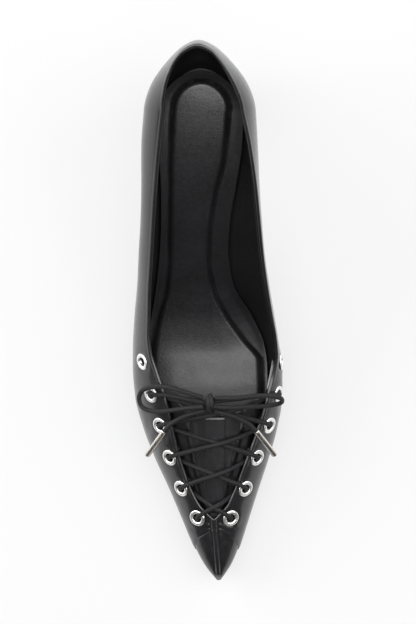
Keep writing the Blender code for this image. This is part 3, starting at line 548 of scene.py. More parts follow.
class SkinGrid:
    """Outer and inner faces of the upper as rows of points at set distances from the edge."""

    def __init__(self, last: Last, columns: Sequence[Column], near: Sequence[float], rest: int) -> None:
        """Sample the upper.

        Args:
            last: the shape.
            columns: the columns in order.
            near: distances from the edge or ridge that each column has a row at.
            rest: how many more rows go down to the sole.
        """
        levels = np.linspace(1.0, 0.0, 150)
        outer, inner, falls = [], [], []
        for column in columns:
            dense = [
                np.array([last.column_point(column, level, depth) for level in levels])
                for depth in (0.0, last.wall)
            ]
            steps = np.linalg.norm(np.diff(dense[0], axis=0), axis=1)
            run = np.concatenate(([0.0], np.cumsum(steps)))
            scale = min(1.0, 0.4 * run[-1] / near[-1])
            top = np.array(near) * scale
            wanted = np.concatenate((top, np.linspace(top[-1], run[-1], rest + 1)[1:]))
            for face, points in zip((outer, inner), dense):
                face.append(np.column_stack([np.interp(wanted, run, points[:, k]) for k in range(3)]))
            falls.append(wanted)
        self.columns = list(columns)
        self.outer = np.array(outer)
        self.inner = np.array(inner)
        self.fall = np.array(falls)
        self.closed = np.array([c.side is not None and last.is_closed(c.wide) for c in columns])
        away = self.outer - self.inner
        self.normal = away / np.maximum(np.linalg.norm(away, axis=2, keepdims=True), 1e-6)
        self.wall = last.wall

    def at_depth(self, depth: Union[float, Grid]) -> Grid:
        """Return the points at a depth, one number or one for each point."""
        share = np.broadcast_to(np.asarray(depth) / self.wall, self.fall.shape)[:, :, None]
        return self.outer + (self.inner - self.outer) * share

    def crease_relief(self, last: Last, creases: Iterable[Crease]) -> Grid:
        """Add up the creases.

        Args:
            last: the shape that places them.
            creases: the creases to lay in.

        Returns:
            The height that each point moves out, in millimetres.
        """
        relief = np.zeros(self.fall.shape)
        for crease in creases:
            line = np.array([last.side_point(crease.side, w, v, 0.0) for w, v in crease.places])
            nearest = np.full(self.fall.shape, 1e9)
            along = np.zeros(self.fall.shape)
            lengths = np.linalg.norm(np.diff(line, axis=0), axis=1)
            total = lengths.sum()
            walked = 0.0
            for start, end, length in zip(line, line[1:], lengths):
                step = end - start
                share = np.clip(((self.outer - start) @ step) / (length * length), 0.0, 1.0)
                gap = np.linalg.norm(self.outer - start - share[:, :, None] * step, axis=2)
                closer = gap < nearest
                along = np.where(closer, (walked + share * length) / total, along)
                nearest = np.minimum(nearest, gap)
                walked += length
            fade = np.sin(np.pi * np.clip(along, 0.02, 0.98)) ** 0.6
            trough = swell(nearest, 0.0, crease.width)
            ridge = swell(nearest, 1.7 * crease.width, crease.width)
            relief += crease.depth * fade * (crease.ridge * ridge - trough)
        return relief


class MeshMaker:
    """Turns rows of points into closed meshes."""

    def __init__(self) -> None:
        """Start an empty mesh."""
        self.work = bmesh.new()

    def rows(self, points: Iterable[Sequence[Sequence[float]]]) -> list[list[Corner]]:
        """Make a vertex for each point of each row, given in millimetres."""
        return [[self.work.verts.new(metres(point)) for point in row] for row in points]

    def strip(self, first: Sequence[Corner], second: Sequence[Corner]) -> None:
        """Join two rows with quads, or with triangles where corners fall together.

        Args:
            first: one row of corners.
            second: the next row, with as many corners.
        """
        for a, b, c, d in zip(first, first[1:], second[1:], second):
            corners: list[Corner] = []
            for corner in (a, b, c, d):
                if all((corner.co - other.co).length > SAME_PLACE for other in corners):
                    corners.append(corner)
            if len(corners) >= 3:
                self.work.faces.new(corners)

    def sheet(self, points: Iterable[Sequence[Sequence[float]]]) -> list[list[Corner]]:
        """Make a grid with its faces, and return its rows of vertices.

        Args:
            points: the rows of places, in millimetres.

        Returns:
            The rows of corners.
        """
        grid = self.rows(points)
        for first, second in zip(grid, grid[1:]):
            self.strip(first, second)
        return grid

    def shell(self, outer: Grid, inner: Grid, closed: Optional[Sequence[bool]] = None) -> None:
        """Join two sheets into a closed shell.

        Args:
            outer: rows of points of the outer face.
            inner: the same for the inner face.
            closed: whether each row starts on a ridge, where there is no rim; none does by default.
        """
        first, second = self.sheet(outer), self.sheet(inner)
        self.strip([row[-1] for row in first], [row[-1] for row in second])
        for i in range(len(first) - 1):
            if closed is None or not (closed[i] and closed[i + 1]):
                self.strip([first[i][0], first[i + 1][0]], [second[i][0], second[i + 1][0]])
        for end in (0, -1):
            self.strip(first[end], second[end])

    def finish(self, name: str, sharp: float = 50.0) -> Piece:
        """Join corners that fall together and make the object.

        Args:
            name: the piece's name.
            sharp: edges over this many degrees stay sharp.

        Returns:
            The object, at the origin.
        """
        bmesh.ops.remove_doubles(self.work, verts=self.work.verts, dist=MERGE)
        bmesh.ops.recalc_face_normals(self.work, faces=self.work.faces)
        return solid(name, self.work, sharp)


def dress(piece: Piece, material: Material, slot: Slot, *nodes: str) -> None:
    """Give a finished piece its material and its body, and hide the nodes that it stands for.

    Args:
        piece: the piece.
        material: its material.
        slot: the record's slot; not used.
        nodes: CAD nodes that it replaces.
    """
    piece.data.materials.clear()
    piece.data.materials.append(material)
    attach(piece, BODY)
    if nodes:
        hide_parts(*nodes)
    LOG.info("%s: %d faces", piece.name, len(piece.data.polygons))


def smooth_route(route: Sequence[Sequence[float]], spacing: float) -> list[Vector]:
    """Lay evenly spaced points on a smooth curve.

    Args:
        route: the places that the curve goes through, in millimetres.
        spacing: distance between the points.

    Returns:
        The points, in millimetres.
    """
    points = [Vector(point) for point in route]
    padded = [2 * points[0] - points[1]] + points + [2 * points[-1] - points[-2]]
    fine: list[Vector] = []
    for i in range(len(points) - 1):
        a, b, c, d = padded[i:i + 4]
        for k in range(24):
            s = k / 24
            bend = 2 * b + (c - a) * s + (2 * a - 5 * b + 4 * c - d) * s * s
            fine.append(0.5 * (bend + (3 * b - a - 3 * c + d) * s ** 3))
    fine.append(points[-1])
    lengths = [0.0]
    for before, after in zip(fine, fine[1:]):
        lengths.append(lengths[-1] + (after - before).length)
    count = max(3, round(lengths[-1] / spacing))
    even: list[Vector] = []
    i = 0
    for k in range(count + 1):
        target = lengths[-1] * k / count
        while i < len(fine) - 2 and lengths[i + 1] < target:
            i += 1
        even.append(fine[i].lerp(fine[i + 1], (target - lengths[i]) / (lengths[i + 1] - lengths[i])))
    return even


def tube(name: str, route: Sequence[Sequence[float]], radius: float, sides: int = 16) -> Piece:
    """Make a round cord with closed ends and a UV map in millimetres along it.

    Args:
        name: the piece's name.
        route: its centre line, in millimetres, closely spaced.
        radius: its radius in millimetres.
        sides: faces around it.

    Returns:
        The object.
    """
    places = [Vector(point) for point in route]
    work = bmesh.new()
    layer = work.loops.layers.uv.new("UVMap")
    side = Vector((0.31, 0.2, 0.93))
    rings, run = [], [0.0]
    for i, place in enumerate(places):
        if i:
            run.append(run[-1] + (place - places[i - 1]).length)
        along = (places[min(i + 1, len(places) - 1)] - places[max(i - 1, 0)]).normalized()
        side = (side - along * side.dot(along)).normalized()
        other = along.cross(side)
        turns = [2 * math.pi * k / sides for k in range(sides)]
        spots = [place + (side * math.cos(t) + other * math.sin(t)) * radius for t in turns]
        rings.append([work.verts.new(metres(spot)) for spot in spots])
    for i in range(len(rings) - 1):
        for k in range(sides):
            after = (k + 1) % sides
            face = work.faces.new((rings[i][k], rings[i][after], rings[i + 1][after], rings[i + 1][k]))
            uvs = ((k, i), (k + 1, i), (k + 1, i + 1), (k, i + 1))
            for loop, (around, row) in zip(face.loops, uvs):
                loop[layer].uv = (around / sides, run[row])
    for ring, place in ((rings[0][::-1], places[0]), (rings[-1], places[-1])):
        middle = work.verts.new(metres(place))
        for k in range(sides):
            work.faces.new((middle, ring[k], ring[(k + 1) % sides]))
    bmesh.ops.recalc_face_normals(work, faces=work.faces)
    return solid(name, work, SOFT_EDGE)


def turn_to(normal: Sequence[float], place: Sequence[float]) -> Matrix:
    """Return the matrix that stands +Z along a direction at a place given in millimetres."""
    turn = Vector(normal).to_track_quat("Z", "Y").to_matrix().to_4x4()
    return Matrix.Translation(metres(place)) @ turn


def turned(name: str, profile: Sequence[Pair], sides: int, matrix: Matrix) -> Piece:
    """Turn a profile of radius and height around +Z into a closed piece.

    Args:
        name: the piece's name.
        profile: radius and height in millimetres, from one end of the axis to the other.
        sides: faces around it.
        matrix: where it stands.

    Returns:
        The object.
    """
    maker = MeshMaker()
    rings = []
    for k in range(sides + 1):
        turn = 2 * math.pi * k / sides
        spots = [Vector((r * math.cos(turn), r * math.sin(turn), h)) * MM for r, h in profile]
        rings.append([maker.work.verts.new(matrix @ spot) for spot in spots])
    for first, second in zip(rings, rings[1:]):
        maker.strip(first, second)
    return maker.finish(name, 40.0)


class Sketch:
    """Adds and joins nodes in one tree."""

    def __init__(self, tree: Tree) -> None:
        """Keep the tree that the nodes go into."""
        self.tree = tree

    def put(self, socket: Socket, value: NodeValue) -> None:
        """Join a socket to another one, or set its number.

        Args:
            socket: the input to fill.
            value: what goes into it.
        """
        if isinstance(value, Socket):
            self.tree.links.new(value, socket)
        else:
            socket.default_value = value

    def node(self, kind: str, values: Optional[NodeValues] = None, **settings: Union[str, Tree]) -> Node:
        """Add a node.

        Args:
            kind: its type name.
            values: what goes into its inputs, by name or number.
            settings: the values of its own properties.

        Returns:
            The node.
        """
        made = self.tree.nodes.new(kind)
        for name, setting in settings.items():
            setattr(made, name, setting)
        for key, value in (values or {}).items():
            self.put(made.inputs[key], value)
        return made

    def math(self, operation: str, a: NodeValue, b: NodeValue = 0.0) -> Socket:
        """Return the result of a sum on one or two values."""
        return self.node("ShaderNodeMath", {0: a, 1: b}, operation=operation).outputs[0]

    def times(self, a: NodeValue, b: NodeValue) -> Socket:
        """Return the product of two values."""
        return self.math("MULTIPLY", a, b)

    def noise(self, vector: NodeValue, scale: NodeValue, detail: float = 3.0) -> Socket:
        """Return a noise value around 0.5."""
        values = {"Vector": vector, "Scale": scale, "Detail": detail}
        return self.node("ShaderNodeTexNoise", values).outputs[0]

    def between(self, value: NodeValue, low: float, high: float, to: Pair = (0.0, 1.0)) -> Socket:
        """Return a value carried from one range to another and held at its ends."""
        return self.node("ShaderNodeMapRange", {0: value, 1: low, 2: high, 3: to[0], 4: to[1]}).outputs[0]

    def blend(self, share: NodeValue, a: Union[Socket, Triple], b: Union[Socket, Triple]) -> Socket:
        """Return a colour between two."""
        first, second = (colour if isinstance(colour, Socket) else (*colour, 1.0) for colour in (a, b))
        return self.node("ShaderNodeMix", {0: share, 6: first, 7: second}, data_type="RGBA").outputs[2]

    def bump(self, shader: Node, height: Socket, depth: float) -> None:
        """Let a height, at a depth in metres, bend the light on a shader's surface."""
        bump = self.node("ShaderNodeBump", {"Strength": 1.0, "Distance": depth, "Height": height})
        self.put(shader.inputs["Normal"], bump.outputs[0])


class Effects:
    """Shader groups that several finishes share, each made once."""

    def __init__(self) -> None:
        """Build the groups."""
        self.grain = self.make_grain()
        self.wear = self.make_wear()
        self.braid = self.make_braid()
        self.scratches = self.make_scratches()

    @staticmethod
    def start(
        name: str, inputs: dict[str, Optional[float]], outputs: Sequence[str],
    ) -> tuple[Sketch, Node, Node]:
        """Start a group.

        Args:
            name: the group's name.
            inputs: the default of each input, or None for a vector.
            outputs: names of the outputs, all plain values.

        Returns:
            A sketch of its tree, its input node and its output node.
        """
        tree = bpy.data.node_groups.new(name, "ShaderNodeTree")
        for label, value in inputs.items():
            kind = "NodeSocketVector" if value is None else "NodeSocketFloat"
            made = tree.interface.new_socket(label, in_out="INPUT", socket_type=kind)
            if value is not None:
                made.default_value = value
        for label in outputs:
            tree.interface.new_socket(label, in_out="OUTPUT", socket_type="NodeSocketFloat")
        sketch = Sketch(tree)
        return sketch, sketch.node("NodeGroupInput"), sketch.node("NodeGroupOutput")

    def make_grain(self) -> Tree:
        """Return the group of a leather's pores, fine wrinkles and slow changes of tone.

        Returns:
            The node group.
        """
        sketch, given, out = self.start(
            "leather grain", {"Vector": None, "Scale": 900.0, "Pebble": 0.5, "Wrinkle": 0.5},
            ("Height", "Tone", "Gloss"),
        )
        vector, scale = given.outputs["Vector"], given.outputs["Scale"]
        warp = sketch.node("ShaderNodeTexNoise", {"Vector": vector, "Scale": sketch.times(scale, 0.2)})
        wander = (0.0014,) * 3
        shift = sketch.node("ShaderNodeVectorMath", {0: warp.outputs[1], 1: wander}, operation="MULTIPLY")
        moved = sketch.node("ShaderNodeVectorMath", {0: vector, 1: shift.outputs[0]}).outputs[0]
        cells = sketch.node("ShaderNodeTexVoronoi", {"Vector": moved, "Scale": scale}, feature="SMOOTH_F1")
        pebble = sketch.times(cells.outputs["Distance"], given.outputs["Pebble"])
        folds = sketch.noise(moved, sketch.times(scale, 0.16), 5.0)
        sharp = sketch.math("ABSOLUTE", sketch.math("SUBTRACT", folds, 0.5))
        wrinkle = sketch.times(sharp, given.outputs["Wrinkle"])
        sketch.put(out.inputs["Height"], sketch.math("SUBTRACT", wrinkle, pebble))
        sketch.put(out.inputs["Tone"], sketch.noise(vector, 45.0, 4.0))
        sketch.put(out.inputs["Gloss"], sketch.noise(vector, sketch.times(scale, 0.35), 3.0))
        return sketch.tree

    def make_wear(self) -> Tree:
        """Return the group of rubbed places near an edge.

        Returns:
            The node group.
        """
        sketch, given, out = self.start(
            "edge wear", {"Vector": None, "Nearness": 0.0, "Amount": 0.5}, ("Mask",),
        )
        patch = sketch.between(sketch.noise(given.outputs["Vector"], 380.0, 5.0), 0.38, 0.62, (0.25, 1.0))
        near = sketch.times(patch, given.outputs["Nearness"])
        sketch.put(out.inputs["Mask"], sketch.times(near, given.outputs["Amount"]))
        return sketch.tree

    def make_braid(self) -> Tree:
        """Return the group of a round braid: u goes once around and v is millimetres along. Its Shade output
        is a painted shade mask, 0 in the grooves between strands and 1 on their crowns.

        Returns:
            The node group.
        """
        sketch, given, out = self.start(
            "cord braid", {"Around": 0.0, "Along": 0.0, "Strands": 8.0, "Pitch": 0.75}, ("Height", "Shade"),
        )
        around = sketch.times(given.outputs["Around"], given.outputs["Strands"])
        along = sketch.times(given.outputs["Along"], given.outputs["Pitch"])
        ways = []
        for operation in ("ADD", "SUBTRACT"):
            phase = sketch.times(sketch.math(operation, around, along), math.pi)
            ways.append(sketch.math("ABSOLUTE", sketch.math("SINE", phase)))
        height = sketch.times(*ways)
        sketch.put(out.inputs["Height"], height)
        # Shade: painted shade mask taken from the braid's height, darkest in the grooves between strands.
        sketch.put(out.inputs["Shade"], sketch.between(height, 0.0, 0.6))
        return sketch.tree

    def make_scratches(self) -> Tree:
        """Return the group of fine handling marks on metal and moulded parts.

        Returns:
            The node group.
        """
        sketch, given, out = self.start(
            "handling marks", {"Vector": None, "Scale": 600.0}, ("Height", "Blur"),
        )
        vector, scale = given.outputs["Vector"], given.outputs["Scale"]
        stretch = sketch.node("ShaderNodeMapping", {"Vector": vector, "Scale": (1.0, 0.12, 0.4)})
        fine = sketch.noise(stretch.outputs[0], scale, 4.0)
        slow = sketch.noise(vector, sketch.times(scale, 0.1), 2.0)
        sketch.put(out.inputs["Height"], fine)
        sketch.put(out.inputs["Blur"], sketch.times(sketch.math("ADD", fine, slow), 0.5))
        return sketch.tree


def new_material(name: str) -> tuple[Material, Sketch, Node]:
    """Return a new material with a sketch of its tree and its Principled shader.

    Args:
        name: its name.

    Returns:
        The material, a sketch of its tree and its shader.
    """
    material = bpy.data.materials.new(name)
    material.use_nodes = True
    sketch = Sketch(material.node_tree)
    return material, sketch, material.node_tree.nodes["Principled BSDF"]


@dataclass(frozen=True)
class LeatherFinish:
    """A dyed leather, from its glossy face to its rubbed edges."""

    name: str
    colour: Triple
    rubbed: Triple
    roughness: Pair
    grain_scale: float
    pebble: float
    wrinkle: float
    grain_depth: float
    coat: float
    wear: float
    ior: float = 1.5
    coat_roughness: float = 0.12
    light_tone: float = 1.55
    rubbed_roughness: float = 0.12

    def make(self, effects: Effects) -> Material:
        """Return the leather's material.

        Args:
            effects: the shared node groups.

        Returns:
            The material.
        """
        material, sketch, shader = new_material(self.name)
        place = sketch.node("ShaderNodeTexCoord").outputs["Object"]
        grain = sketch.node("ShaderNodeGroup", {
            "Vector": place, "Scale": self.grain_scale, "Pebble": self.pebble, "Wrinkle": self.wrinkle,
        }, node_tree=effects.grain)
        near = sketch.node("ShaderNodeAttribute", attribute_name="edge_near").outputs["Fac"]
        wear = sketch.node("ShaderNodeGroup", {
            "Vector": place, "Nearness": near, "Amount": self.wear,
        }, node_tree=effects.wear).outputs["Mask"]
        lighter = tuple(self.light_tone * part for part in self.colour)
        plain = sketch.blend(sketch.between(grain.outputs["Tone"], 0.35, 0.65), self.colour, lighter)
        sketch.put(shader.inputs["Base Color"], sketch.blend(wear, plain, self.rubbed))
        gloss = sketch.between(grain.outputs["Gloss"], 0.3, 0.7, self.roughness)
        rough = sketch.math("ADD", gloss, sketch.times(wear, self.rubbed_roughness))
        sketch.put(shader.inputs["Roughness"], rough)
        shader.inputs["IOR"].default_value = self.ior
        shader.inputs["Coat Weight"].default_value = self.coat
        shader.inputs["Coat Roughness"].default_value = self.coat_roughness
        sketch.bump(shader, grain.outputs["Height"], self.grain_depth)
        return material


@dataclass(frozen=True)
class CordFinish:
    """A round braided cord whose colour carries painted shade: dark in the grooves between strands, lighter
    on their crowns.
    """

    name: str
    colour: Triple
    # crown is the lighter colour on the strands' tops; colour is the painted shade in the grooves between
    # them.
    crown: Triple
    roughness: Pair
    depth: float
    specular: float = 0.28

    def make(self, effects: Effects) -> Material:
        """Return the cord's material.

        Args:
            effects: the shared node groups.

        Returns:
            The material.
        """
        material, sketch, shader = new_material(self.name)
        along = sketch.node("ShaderNodeUVMap", uv_map="UVMap")
        parts = sketch.node("ShaderNodeSeparateXYZ", {0: along.outputs[0]})
        braid = sketch.node("ShaderNodeGroup", {
            "Around": parts.outputs[0], "Along": parts.outputs[1],
        }, node_tree=effects.braid)
        groove_shade = braid.outputs["Shade"]
        # Painted shade: the braid's grooves take the darker colour and its crowns the lighter crown colour.
        sketch.put(shader.inputs["Base Color"], sketch.blend(groove_shade, self.colour, self.crown))
        sketch.put(shader.inputs["Roughness"], sketch.between(groove_shade, 0.0, 1.0, self.roughness[::-1]))
        shader.inputs["Specular IOR Level"].default_value = self.specular
        sketch.bump(shader, braid.outputs["Height"], self.depth)
        return material


@dataclass(frozen=True)
class HardFinish:
    """Metal, rubber or a moulded sheet with fine handling marks."""

    name: str
    colour: Triple
    dull: Triple
    roughness: Pair
    metallic: float
    mark_scale: float
    mark_depth: float

    def make(self, effects: Effects) -> Material:
        """Return the material.

        Args:
            effects: the shared node groups.

        Returns:
            The material.
        """
        material, sketch, shader = new_material(self.name)
        place = sketch.node("ShaderNodeTexCoord").outputs["Object"]
        marks = sketch.node("ShaderNodeGroup", {
            "Vector": place, "Scale": self.mark_scale,
        }, node_tree=effects.scratches)
        blur = sketch.between(marks.outputs["Blur"], 0.4, 0.6)
        sketch.put(shader.inputs["Base Color"], sketch.blend(blur, self.colour, self.dull))
        sketch.put(shader.inputs["Roughness"], sketch.between(blur, 0.0, 1.0, self.roughness))
        shader.inputs["Metallic"].default_value = self.metallic
        sketch.bump(shader, marks.outputs["Height"], self.mark_depth)
        return material


class Finishes:
    """All the materials of the shoe."""

    def __init__(self) -> None:
        """Make each finish once."""
        effects = Effects()
        self.upper = LeatherFinish(
            "smooth upper leather", (0.0045, 0.0045, 0.0052), (0.035, 0.035, 0.037), (0.28, 0.37),
            1500.0, 0.5, 0.9, 0.00003, 0.5, 0.15, 1.5,
        ).make(effects)
        self.tongue = LeatherFinish(
            "soft under-panel leather", (0.004, 0.004, 0.0046), (0.035, 0.035, 0.037), (0.3, 0.38),
            1300.0, 0.4, 1.3, 0.00004, 0.5, 0.3, 1.6,
        ).make(effects)
        self.lining = LeatherFinish(
            "lining leather", (0.004, 0.004, 0.0045), (0.02, 0.02, 0.021), (0.5, 0.62),
            1800.0, 0.6, 0.6, 0.00004, 0.0, 0.2, 1.4,
        ).make(effects)
        self.sock = LeatherFinish(
            "sock leather", (0.008, 0.008, 0.009), (0.05, 0.05, 0.052), (0.34, 0.44),
            1400.0, 0.6, 0.8, 0.00006, 0.15, 0.4, 1.6,
        ).make(effects)
        self.heel = LeatherFinish(
            "heel cover leather", (0.005, 0.005, 0.0055), (0.04, 0.04, 0.042), (0.25, 0.34),
            1500.0, 0.4, 0.6, 0.00004, 0.25, 0.3,
        ).make(effects)
        # The cord's first colour is painted shade in the braid's grooves; the second is the lighter colour of
        # the strands' crowns.
        self.cord = CordFinish(
            "waxed braided cord", (0.003, 0.003, 0.0035), (0.009, 0.009, 0.01), (0.55, 0.8), 0.00012,
        ).make(effects)
        self.thread = HardFinish(
            "black thread", (0.012, 0.012, 0.013), (0.03, 0.03, 0.031), (0.5, 0.65), 0.0, 2500.0, 0.00002,
        ).make(effects)
        self.eyelet = HardFinish(
            "silver eyelet metal", (0.93, 0.92, 0.9), (0.86, 0.85, 0.84), (0.3, 0.42), 1.0, 900.0, 0.000006,
        ).make(effects)
        self.aglet = HardFinish(
            "silver tip metal", (0.82, 0.79, 0.74), (0.6, 0.57, 0.52), (0.18, 0.34), 1.0, 700.0, 0.00001,
        ).make(effects)
        self.sole = HardFinish(
            "black sole sheet", (0.013, 0.013, 0.013), (0.022, 0.022, 0.022), (0.42, 0.58),
            0.0, 500.0, 0.00005,
        ).make(effects)
        self.rubber = HardFinish(
            "black top-piece rubber", (0.016, 0.016, 0.016), (0.028, 0.028, 0.028), (0.65, 0.8),
            0.0, 900.0, 0.00008,
        ).make(effects)


@dataclass(frozen=True)
class Light:
    """A square soft light: where it stands, what it points at, its side and its watts."""

    name: str
    place: Triple
    target: Triple
    size: float
    power: float


@dataclass
class Studio:
    """Camera, floor and lights."""

    eye: Triple = (0.0501, 0.0472, 1.5)
    target: Triple = (0.0005, 0.0035, 0.045)
    lens: float = 119.0
    sensor: float = 24.0
    far: float = 20.0
    floor_size: float = 6.0
    floor_tones: tuple[Triple, Triple] = ((0.13, 0.13, 0.13), (0.14, 0.14, 0.142))
    floor_roughness: float = 0.8
    floor_glow: float = 0.66
    room_light: float = 0.07
    room_seen: float = 0.85
    lights: tuple[Light, ...] = (
        Light("overhead softbox", (0.1, 0.2, 2.0), (0.0, 0.0, 0.0), 2.0, 52.0),
        Light("right softbox", (1.5, 0.15, 1.45), (0.0, 0.0, 0.0), 1.4, 24.0),
        Light("left softbox", (-1.5, 0.15, 1.45), (0.0, 0.0, 0.0), 1.3, 12.0),
        Light("left card", (-1.2, 0.55, 0.55), (0.0, 0.1, 0.08), 1.3, 30.0),
        Light("right card", (1.0, 1.0, 0.5), (0.0, 0.1, 0.08), 1.2, 14.0),
    )

    def build(self) -> None:
        """Place the camera, the floor and the lights."""
        data = bpy.data.cameras.new("camera")
        data.sensor_fit = "VERTICAL"
        data.sensor_height = self.sensor
        data.lens = self.lens
        data.clip_end = self.far
        camera = in_scene("camera", data)
        look = (Vector(self.target) - Vector(self.eye)).normalized()
        right = look.cross(Vector((0.0, 1.0, 0.0))).normalized()
        turn = Matrix((right, right.cross(look), -look)).transposed().to_4x4()
        camera.matrix_world = Matrix.Translation(self.eye) @ turn
        bpy.context.scene.camera = camera
        bpy.context.scene.view_settings.view_transform = "Standard"
        self.build_floor()
        self.build_room()
        for light in self.lights:
            self.add_light(light)

    def build_room(self) -> None:
        """Make the room round the shoe: pale to look at, dim as a source of light."""
        world = bpy.data.worlds.new("room")
        world.use_nodes = True
        sketch = Sketch(world.node_tree)
        rays = sketch.node("ShaderNodeLightPath")
        strength = sketch.between(rays.outputs["Is Camera Ray"], 0.0, 1.0, (self.room_light, self.room_seen))
        background = world.node_tree.nodes["Background"]
        background.inputs["Color"].default_value = (1.0, 1.0, 1.0, 1.0)
        sketch.put(background.inputs["Strength"], strength)
        bpy.context.scene.world = world

    def build_floor(self) -> None:
        """Lay the plain pale floor."""
        half = self.floor_size / 2
        work = bmesh.new()
        corners = ((-half, -half), (half, -half), (half, half), (-half, half))
        work.faces.new([work.verts.new((x, y, 0.0)) for x, y in corners])
        floor = solid("floor", work)
        material, sketch, shader = new_material("pale floor")
        place = sketch.node("ShaderNodeTexCoord").outputs["Object"]
        tone = sketch.between(sketch.noise(place, 3.0), 0.3, 0.7)
        sketch.put(shader.inputs["Base Color"], sketch.blend(tone, *self.floor_tones))
        shader.inputs["Roughness"].default_value = self.floor_roughness
        shader.inputs["Emission Color"].default_value = (1.0, 1.0, 1.0, 1.0)
        shader.inputs["Emission Strength"].default_value = self.floor_glow
        floor.data.materials.append(material)

    @staticmethod
    def add_light(light: Light) -> None:
        """Add a light.

        Args:
            light: its size, place and power.
        """
        data = bpy.data.lights.new(light.name, "AREA")
        data.shape = "SQUARE"
        data.size = light.size
        data.energy = light.power
        way = (Vector(light.target) - Vector(light.place)).to_track_quat("-Z", "Y").to_matrix().to_4x4()
        in_scene(light.name, data).matrix_world = Matrix.Translation(light.place) @ way


# The cord's radius and the spacing of the points on its centre line, in millimetres.
CORD_RADIUS = 1.1
CORD_STEP = 0.8


